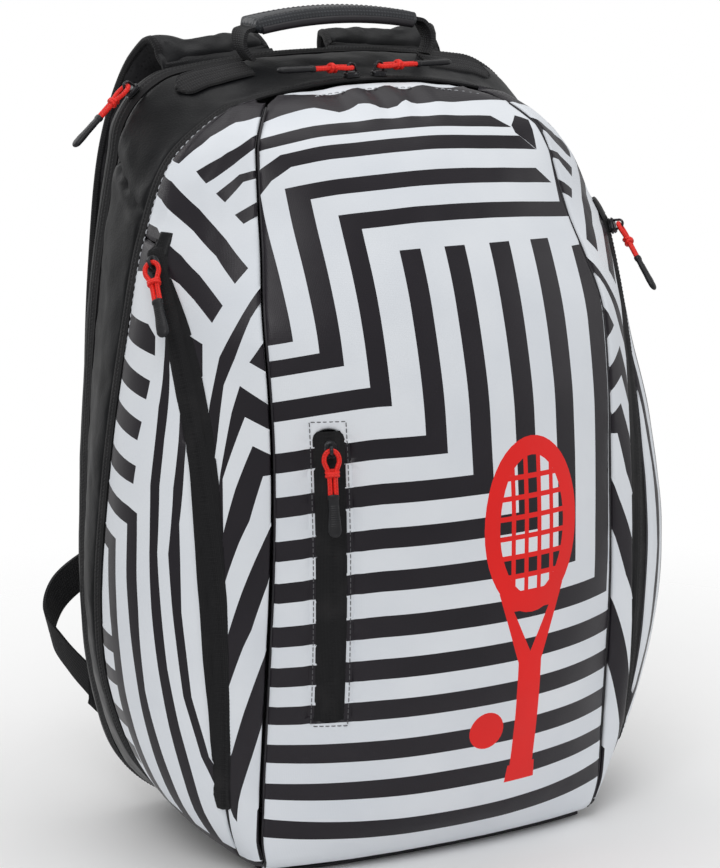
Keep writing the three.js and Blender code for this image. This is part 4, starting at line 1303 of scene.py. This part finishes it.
# ---------- haul handle ----------
def handle_grip():
    """Arched grip: a flattened padded section with a beaded edge down each side and closed ends."""
    half, height, rise = 54, 480.7, 10.5
    t = np.linspace(0, 1, 90)
    path = bezier((-half, GRIP_Y, height), (0, GRIP_Y, height + rise), (half, GRIP_Y, height), t)
    half_width, half_depth, bead_at, groove_at = 12.6, 4.8, 10.6, 8.4
    y, z = squarish(48, 0.75, 0.6)
    y, z = y * half_width, z * half_depth
    z = z + np.sign(z) * (0.9 * hump(np.abs(y), bead_at, 0.9) - 0.7 * hump(np.abs(y), groove_at, 0.5))
    ends = np.sqrt(np.clip(1 - np.square(np.clip(np.abs(t - 0.5) - 0.475, 0, None) / 0.0252), 0.03, 1))
    rings = []
    for p, k, u in zip(path, ends, t):
        tilt = math.atan2(2 * (1 - 2 * u) * rise, 2 * half)
        up = np.array([-math.sin(tilt), 0, math.cos(tilt)])
        squeeze = 1 - 0.10 * math.sin(math.pi * u)
        rings.append(p + np.outer(y * squeeze * lerp(0.82, 1, k), (0, 1, 0)) + np.outer(z * k, up))
    shape = Shape().loft(np.array(rings))
    for side in (-1, 1):
        shape.tube(path[3:-3] + (0, side * 11.8, -2.6), 2.4, sides=12, look=1)
    shape.make("handle_grip", [GRIP, PIPING], "coated_shell", "handle")
    for label, offset in (("front", -7.812), ("rear", 7.812)):
        stitches(f"handle_grip_stitches_{label}", path[4:-4] + (0, offset, 4.6), (0, 0, 1), 3.3, 2.1,
                 "handle")


handle_grip()


def strap_grid(path, width, side, rows=7):
    """A flat strap's grid and flat coordinates: path is (n, 3), side the direction across it."""
    v = np.linspace(-0.5, 0.5, rows)
    side = unit(np.broadcast_to(np.asarray(side, float), path.shape))
    width = np.broadcast_to(width, len(path))
    flat = np.stack(np.broadcast_arrays(arc_length(path), v[:, None] * width), -1)
    return path + v[:, None, None] * width[:, None] * side, flat


def handle_leg(side, sign):
    """Folded webbing from the end of the grip down to the shell."""
    steps, rows = 40, 7
    leg = spline([(57.5, HANDLE_Y + 0.5, 461.2), (60, HANDLE_Y + 2, 464.5), (61.8, HANDLE_Y + 4, 469),
                  (61.3, HANDLE_Y + 7, 474.5), (58.5, GRIP_Y - 0.5, 479), (53.0, GRIP_Y, 480.6)], steps)
    width = profile([(0, 15), (0.3, 13), (0.6, 17), (1, 19)])(np.linspace(0, 1, steps + 1))
    grid, flat = strap_grid(leg, width, (0, 1, 0), rows)
    cup = 1.2 * np.square(np.linspace(-1, 1, rows))[:, None]
    body = ("bag", "handle", (0, HANDLE_Y * MM, 0.462), (0, 0.060, 0.474))
    strip(f"{side}_handle_leg", (grid + vec(cup, 0, 0)) * (sign, 1, 1), 2.2, WEB, "webbing", flat, body)


def handle_anchor(side, sign):
    """The tongue sewn on the shell below a leg: round at its outer end and ribbed along."""
    u = np.linspace(0, 1, 44)
    k, v = np.meshgrid(lerp(0.5515, 0.592, u), np.linspace(-1, 1, 13))
    half = 9.0 * np.sqrt(np.clip(1 - np.square(np.clip(u - 0.80, 0, None) / 0.2005), 0.01, 1))
    y = HANDLE_Y + v * half
    nx, nz = border.outward(k)
    rise = 2.5 + 0.25 * np.sin(v * np.pi * 5) - 0.6 * hump(np.abs(v), 0.82, 0.06)
    grid = shell_point(k, y) + vec(nx * rise, 0, nz * rise)
    strip(f"{side}_handle_anchor", grid * (sign, 1, 1), 1.4, WEB, "webbing", np.stack([k * ARCH, y], -1))


for side, sign in SIDES:
    handle_leg(side, sign)
    handle_anchor(side, sign)


# ---------- padded pieces ----------
def simulate(name, points, faces, voxel, pressure, cap, held):
    """Inflates a closed mesh (mm) with Blender's cloth and returns (points, faces) in mm.

    held gives each point's pin weight. No point moves further than cap.
    """
    mesh = bpy.data.meshes.new(name)
    mesh.from_pydata((np.asarray(points) * MM).tolist(), [], [tuple(int(i) for i in f) for f in faces])
    outward(mesh)
    piece = bpy.data.objects.new(name, mesh)
    bpy.context.scene.collection.objects.link(piece)
    remesh = piece.modifiers.new("remesh", "REMESH")
    remesh.mode = "VOXEL"
    remesh.voxel_size = voxel * MM
    freeze(piece)
    rest = np.array([v.co for v in piece.data.vertices])
    inflate(piece, held(rest / MM), pressure)
    shift = np.array([v.co for v in piece.data.vertices]) - rest
    length = np.linalg.norm(shift, axis=1)
    rest = rest + shift * np.minimum(1, cap * MM / np.maximum(length, 1e-9))[:, None]
    faces = [tuple(p.vertices) for p in piece.data.polygons]
    bpy.data.objects.remove(piece)
    return rest / MM, faces


def inflate(piece, weights, pressure, frames=20):
    group = piece.vertex_groups.new(name="pins")
    for i, weight in enumerate(weights):
        if weight > 0.01:
            group.add([i], float(weight), "REPLACE")
    cloth = piece.modifiers.new("cloth", "CLOTH")
    for name, value in (("quality", 5), ("mass", 0.25), ("tension_stiffness", 25),
                        ("compression_stiffness", 12), ("bending_stiffness", 0.6), ("use_pressure", True),
                        ("uniform_pressure_force", pressure), ("shrink_min", -0.04),
                        ("vertex_group_mass", "pins")):
        setattr(cloth.settings, name, value)
    cloth.settings.effector_weights.gravity = 0
    cloth.collision_settings.use_collision = False
    cloth.point_cache.frame_start, cloth.point_cache.frame_end = 1, frames
    for frame_number in range(1, frames + 1):
        bpy.context.scene.frame_set(frame_number)
    freeze(piece)
    bpy.context.scene.frame_set(1)


def freeze(piece):
    """Replaces the piece's mesh with what its modifiers make, and drops them."""
    graph = bpy.context.evaluated_depsgraph_get()
    made = bpy.data.meshes.new_from_object(piece.evaluated_get(graph))
    piece.modifiers.clear()
    piece.data = made


def slab(outline, low, high, inset):
    """A plate in the XZ plane with rounded-over edges, as points and faces."""
    ring = np.array(outline)
    centre = ring.mean(0)
    loops = []
    for y, shrink in ((low, inset), (low + 2, 0), (high - 2, 0), (high, inset)):
        scale = 1 - shrink / np.abs(ring - centre).max(0)
        p = centre + (ring - centre) * scale
        loops.append(vec(p[:, 0], y, p[:, 1]))
    n = len(ring)
    faces = [(i * n + k, i * n + (k + 1) % n, (i + 1) * n + (k + 1) % n, (i + 1) * n + k)
             for i in range(3) for k in range(n)]
    faces += [tuple(range(n)), tuple(range(4 * n - 1, 3 * n - 1, -1))]
    return np.vstack(loops), faces


def rounded(x, z, width, height, radius):
    """Outline of a rounded rectangle, as (x, z) pairs."""
    out = []
    for cx, cz, start in ((1, 1, 0), (-1, 1, 90), (-1, -1, 180), (1, -1, 270)):
        for a in range(start, start + 91, 15):
            a = math.radians(a)
            out.append((x + cx * (width / 2 - radius) + radius * math.cos(a),
                        z + cz * (height / 2 - radius) + radius * math.sin(a)))
    return densify(out, 6)


def channel(points, lines, depth, width, face_y):
    """Presses sewn channels into the +Y face along (x0, z0, x1, z1) lines."""
    x, z = points[:, 0], points[:, 2]
    press = np.zeros(len(points))
    for x0, z0, x1, z1 in lines:
        dx, dz = x1 - x0, z1 - z0
        t = np.clip(((x - x0) * dx + (z - z0) * dz) / (dx * dx + dz * dz), 0, 1)
        away = np.hypot(x - x0 - t * dx, z - z0 - t * dz)
        press = np.maximum(press, hump(away, 0, width))
    front = smooth(points[:, 1], face_y - 7, face_y - 2)
    return points - vec(0, press * depth * front, 0)


def subdivided(piece):
    piece.modifiers.new("smooth", "SUBSURF").render_levels = 1
    piece.modifiers["smooth"].levels = 1
    freeze(piece)


def pad(name, outline, face, lines, signs):
    """A pad inflated by simulation, channelled, and made once or on both sides."""
    points, faces = slab(outline, BACK_Y + 1.2, face - 2.2, inset=5)
    points, faces = simulate(name, points, faces, voxel=5, pressure=4, cap=5,
                             held=lambda p: 1 - smooth(p[:, 1], 98.5, 101))
    points[:, 1] = np.maximum(points[:, 1], BACK_Y + 0.3)
    points = channel(points, lines, depth=4.0, width=3.2, face_y=face)
    for label, sign in signs:
        shape = Shape().add(points * (sign, 1, 1), faces, flat=points[:, [0, 2]])
        subdivided(shape.make(label + name, [MESH], "padded_mesh", sharp=180))
        rim = np.array(outline) * (sign, 1)
        Shape().tube(vec(rim[:, 0], BACK_Y + 1.5, rim[:, 1]), 1.5, closed=True).make(
            f"{label}{name}_binding", [PIPING], "padded_mesh")


pad("back_pad", rounded(60, 294, 84, 224, 26), 109,
    ((24, 250, 100, 262), (24, 318, 100, 330), (24, 372, 100, 378)), (("right_", 1), ("left_", -1)))
pad("lumbar_pad", rounded(0, 116, 214, 86, 30), 112, ((-36, 70, -36, 162), (36, 70, 36, 162)), (("", 1),))


def strap_path(steps):
    return spline([(STRAP_X, STRAP_AXIS_Y + 4, STRAP_AXIS_Z + 8), (60, 119, 468), (66, 134, 452),
                   (82, 141, 405), (96, 141, 330), (104, 137, 250), (109, 130, 184)], steps)


strap_width = profile([(0, 74), (0.25, 72), (0.55, 62), (0.9, 56), (1, 44)])


def strap_frame(steps):
    """A strap's middle line, its directions out of the strap and across it, and its half width."""
    path = strap_path(steps)
    tangent = unit(np.gradient(path, axis=0))
    outer = unit(np.cross((1, 0, 0), tangent))
    u = np.linspace(0, 1, steps + 1)
    taper = np.clip(np.sqrt(1 - np.square(np.clip(u - 0.95, 0, 1) / 0.055)), 0.6, 1)
    return path, outer, np.cross(tangent, outer), strap_width(u) / 2 * taper


def strap_body(steps, path, outer, side, width):
    """The inflated strap with two sewn channels: points, faces, looks and flat coordinates."""
    across, out = squarish(32, 0.35, 0.8)
    rings = np.array([path[i] + np.outer(across * (width[i] + 0.8), side[i]) + np.outer(out * 4.6, outer[i])
                      for i in range(steps + 1)])
    shape = Shape().loft(rings)
    tree = tree_of(path)

    def measured(points):
        """Nearest step of the middle line, height out of the strap and reach across it."""
        near = np.array([tree.find(p)[1] for p in points])
        lift = np.einsum("ij,ij->i", points - path[near], outer[near])
        return near, lift, np.einsum("ij,ij->i", points - path[near], side[near])

    def held(points):
        """Full at the strap's ends and along its bound edges."""
        near, _, reach = measured(points)
        ends = np.where((near < 2) | (near > steps - 2), 1.0, 0.0)
        return np.maximum(ends, smooth(np.abs(reach) - width[near], -4, -1))

    points, faces = simulate("strap", np.vstack(shape.points), shape.faces, voxel=4.2, pressure=3, cap=4,
                             held=held)
    near, lift, reach = measured(points)
    for offset in (-0.52, 0.52):
        away = np.abs(reach / width[near] - offset) * width[near]
        press = 1.5 * hump(away, 0, 1.8) * smooth(np.abs(lift), 1, 4)
        points = points - outer[near] * (np.sign(lift) * press)[:, None]
    face_lift = np.array([lift[list(f)].mean() for f in faces])
    return points, faces, np.where(face_lift > -0.6, 0, 1), np.stack([near * 5.0, reach], 1)


def shoulder_straps(steps=60):
    """Padded straps: foam between an outer coated face and an air mesh lining, bound all round."""
    path, outer, side, width = strap_frame(steps)
    points, faces, look, flat = strap_body(steps, path, outer, side, width)
    reach = side * (width - 1.4)[:, None]
    rim = resample_path(np.vstack([path - reach, (path + reach)[::-1], path[:1] - reach[:1]]), 260)[:-1]
    for label, sign in SIDES:
        body = f"{label}_strap"
        shape = Shape().add(points * (sign, 1, 1), faces, look, flat)
        subdivided(shape.make(f"{label}_shoulder_strap", [SHELL, MESH], "padded_mesh", body, sharp=180))
        Shape().tube(rim * (sign, 1, 1), 2.6, sides=12, closed=True).make(
            f"{label}_strap_binding", [WEB], "padded_mesh", body)


shoulder_straps()


def strap_root(label, sign):
    """Cloth sewn to the back that carries a strap, curving away from the back at its top."""
    path = spline([(STRAP_X, 98.6, 424), (STRAP_X, 98.9, 437), (STRAP_X, 99.6, 449), (STRAP_X, 102, 456.5),
                   (STRAP_X + 0.3, 107, 461.5)], 40)
    grid, flat = strap_grid(path * (sign, 1, 1), 76.0, (1, 0, 0), 15)
    bumps = 0.5 * turbulence(grid.reshape(-1, 3), 16, 21).reshape(grid.shape[:2])
    body = ("bag", f"{label}_strap", (0, 0.0996, 0.449), (0, 0.106, 0.461))
    strip(f"{label}_strap_root", grid + vec(0, bumps, 0), 2.2, SHELL, "coated_shell", flat, body)
    x, half, y, low, high = STRAP_X * sign, 33, 100.6, 427, 437
    a, b, c, d = [(px, y, pz) for px, pz in bar(x - half, x + half, low, high)]
    stitches(f"{label}_strap_root_stitches", [a, b, c, d, a, c, b, d], (0, 1, 0), 3.2, 2.2, radius=0.32)


for side, sign in SIDES:
    strap_root(side, sign)


# ---------- lower webbing, tabs and buckles ----------
TAB_ROOT = np.array((145.0, 101.0, 78.0))
BUCKLE = dict(x=110.5, y=127.5, z=165, tilt=8)


def ladder_buckle():
    """Moulded ladder buckle: a rounded frame, three cross bars and a thumb lip."""
    tilt = math.radians(BUCKLE["tilt"])

    def place(p):
        """(x, height, depth) in the buckle's own plane, as a point on the bag."""
        x, z, y = np.asarray(p, float).T
        return vec(BUCKLE["x"] + x, BUCKLE["y"] + y * math.cos(tilt) + z * math.sin(tilt),
                   BUCKLE["z"] + z * math.cos(tilt) - y * math.sin(tilt))

    shape = Shape()
    ring = resample_path(np.array([(*p, 0) for p in rounded(0, 0, 30, 22, 4)] + [(15, 7, 0)]), 60)[:-1]
    shape.tube(place(ring), 2.0, sides=10, closed=True)
    for z, r in ((-5.2, 1.5), (0, 1.7), (5.2, 1.5)):
        shape.tube(place([(x, z, 0.2 * math.cos(x / 4)) for x in np.linspace(-15, 15, 16)]), r, sides=10)
    shape.tube(place([(x, 11.5, 1.2) for x in np.linspace(-9, 9, 10)]), 1.6, sides=10)
    return shape


def lower_webbing(label, sign):
    """Webbing from the tab at the base up to the buckle, with a loose tail behind it."""
    steps, thickness = 90, 1.8
    path = spline([TAB_ROOT + (1.5, 1.5, 1), (158, 114, 96), (165, 125, 113), (157, 131, 130),
                   (137, 130, 145), (119, 126.5, 152), (112, 125, 160), (BUCKLE["x"], 126.5, 166)], steps)
    u = np.linspace(0, 1, steps + 1)
    side = lerp(np.array((0.2, 0, 1.0)), np.array((0.35, -0.25, 0.9)), smooth(u, 0, 0.7)[:, None])
    side = lerp(side, np.array((1.0, 0.05, 0.15)), smooth(u, 0.72, 0.95)[:, None])
    grid, flat = strap_grid(path, profile([(0, 27), (0.1, 25), (1, 24)])(u), side, 9)
    body = ("bag", f"{label}_strap", TAB_ROOT * (sign, 1, 1) * MM, (sign * 0.112, 0.126, 0.158))
    strip(f"{label}_lower_webbing", grid * (sign, 1, 1), thickness, WEB, "webbing", flat, body)
    tail = spline([(BUCKLE["x"], 129.5, 159), (113, 134, 150), (118, 137, 138), (120, 136, 124),
                   (117, 135, 112)], 40)
    grid, flat = strap_grid(tail, WEBBING - 1, (0.95, -0.15, 0.2))
    strip(f"{label}_webbing_tail", grid * (sign, 1, 1), thickness, WEB, "webbing", flat, f"{label}_strap")


def wing_tab(label, sign):
    """The sewn tab that holds the webbing at the base, wide at the back panel."""
    v, w = np.meshgrid(np.linspace(0, 1, 14), np.linspace(-0.5, 0.5, 11))
    height = lerp(54, WEBBING + 3, v**0.8)
    grid = vec(lerp(134, TAB_ROOT[0] + 4, v), lerp(BACK_Y, TAB_ROOT[1] + 3.5, v) + 0.5 * np.sin(w * 20),
               TAB_ROOT[2] - 4 * (1 - v) + 3 * v + w * height)
    strip(f"{label}_wing_tab", grid * (sign, 1, 1), 2.0, WEB, "webbing", np.stack([v * 14, w * 50], -1))
    edge = np.array([(136, 98.5, 50), (146, 103.5, 66), (150, 107, 92), (136, 98.5, 99)])
    stitches(f"{label}_wing_stitches", edge * (sign, 1, 1), (0.6 * sign, 0.8, 0), 3.4, 2.2)


for side, sign in SIDES:
    shape = ladder_buckle()
    shape.points = [p * (sign, 1, 1) for p in shape.points]
    shape.make(f"{side}_ladder_buckle", [PLASTIC], "moulded_plastic", f"{side}_strap")
    lower_webbing(side, sign)
    wing_tab(side, sign)


# ---------- back panel, stiffeners and linings ----------
def upright(y, swell=0.0, phase=0):
    """Makes a map from flat (x, z) to an upright sheet at depth y, with slow waves."""
    def place(p):
        return vec(p[..., 0], y + swell * np.sin(p[..., 0] / 41 + phase) * np.sin(p[..., 1] / 57), p[..., 1])
    return place


def back_relief(flat, _):
    """The mesh stretched over the back panel: a middle channel and quilted rows."""
    x, z = flat[:, 0], flat[:, 1]
    return 0.5 * np.cos(z / 9) * smooth(np.abs(x), 106, 112) - 1.6 * hump(x, 0, 6)


def pocket_lining_point(p):
    """Surface of the pocket's lining, behind the front panel."""
    return front_point(p) - 8.6 * surface_normals(front_point, p)


panel("back_panel", [rear.inset(11, 90)], upright(BACK_Y), [MESH, PIPING], step=6, thickness=3.6, roll=1.5,
      pucker=0.2, relief=back_relief, flip=True, seed=14, slot="padded_mesh")
for name, outline, place, thickness, seed in (
        ("racket_divider", border.inset(10, 90), upright(28, 0.9, 1), 1.6, 15),
        ("laptop_sleeve", rounded(0, 175, 218, 288, 18), upright(80.5, 0.4, 2), 1.6, 16),
        ("front_pocket_lining", bar(-100, 24, 95, 285), pocket_lining_point, 1.0, 17)):
    panel(name, [outline], place, [LINING, LINING], step=9, thickness=thickness, roll=0.4, pucker=0.3,
          seed=seed, slot="lining")
for node in ("frame_sheet", "base_board"):
    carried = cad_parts[node]
    carried.data.materials.clear()
    carried.data.materials.append(BOARD)

# ---------- camera, light and floor ----------
def linked(tree, kind, *sources):
    """A new node's first output, its inputs linked to the sources."""
    node = tree.nodes.new(kind)
    for source, socket in zip(sources, node.inputs):
        tree.links.new(source, socket)
    return node.outputs[0]


def backdrop(tree, light):
    """Plain white where the camera sees past the floor, while the bag is lit by a weaker white."""
    lit, seen = tree.nodes["Background"], tree.nodes.new("ShaderNodeBackground")
    for node, strength in ((lit, light), (seen, 1.0)):
        node.inputs[0].default_value = (1, 1, 1, 1)
        node.inputs[1].default_value = strength
    camera_ray = tree.nodes.new("ShaderNodeLightPath").outputs["Is Camera Ray"]
    mix = linked(tree, "ShaderNodeMixShader", camera_ray, lit.outputs[0], seen.outputs[0])
    tree.links.new(mix, tree.nodes["World Output"].inputs[0])


def floor_look():
    """Pale floor that fades out into the backdrop away from the bag."""
    look = Look("floor_pale", (0.93, 0.93, 0.93), 0.9, specular=0.1)
    look.drift(400, 0.4, 0.8, (0.91, 0.91, 0.915))
    tree = look.material.node_tree
    length = look.nodes.new("ShaderNodeVectorMath")
    length.operation = "LENGTH"
    tree.links.new(look.place, length.inputs[0])
    fade = look.soften(length.outputs["Value"], 0.25, 0.7)
    clear = linked(tree, "ShaderNodeBsdfTransparent")
    mix = linked(tree, "ShaderNodeMixShader", fade, look.shader.outputs[0], clear)
    tree.links.new(mix, look.nodes["Material Output"].inputs[0])
    return look.material


def link(name, data, place, facing):
    """A new object at place, looking along facing."""
    thing = bpy.data.objects.new(name, data)
    thing.location = place
    thing.rotation_mode = "QUATERNION"
    thing.rotation_quaternion = facing.to_track_quat("-Z", "Y")
    bpy.context.scene.collection.objects.link(thing)
    return thing


def studio():
    scene = bpy.context.scene
    target = Vector((0, 0.028, 0.226))
    azimuth, elevation, distance = math.radians(-28), math.radians(13), 1.8
    back = Vector((math.sin(azimuth) * math.cos(elevation), -math.cos(azimuth) * math.cos(elevation),
                   math.sin(elevation)))
    scene.camera = link("camera", bpy.data.cameras.new("camera"), target + back * distance, -back)
    scene.camera.data.lens = 123.1
    scene.camera.data.shift_y = 0.0184
    half = 6
    floor_mesh = bpy.data.meshes.new("floor")
    floor_mesh.from_pydata([(x, z, 0) for x, z in bar(-half, half, -half, half)], [], [(0, 1, 2, 3)])
    floor = bpy.data.objects.new("floor", floor_mesh)
    scene.collection.objects.link(floor)
    floor_mesh.materials.append(floor_look())
    scene.world = bpy.data.worlds.new("studio")
    scene.world.use_nodes = True
    backdrop(scene.world.node_tree, 0.55)
    for name, place, size, power in (("key", (-1.2, -1.5, 1.9), 1.2, 17), ("top", (0.2, 0.3, 2.2), 1.6, 12),
                                     ("fill", (1.9, -0.9, 0.9), 1.4, 6), ("back", (-0.8, 1.8, 1.2), 1.4, 8)):
        light = link(name, bpy.data.lights.new(name, "AREA"), place, target - Vector(place))
        light.data.energy = power
        light.data.size = size
    scene.view_settings.view_transform = "Standard"


studio()
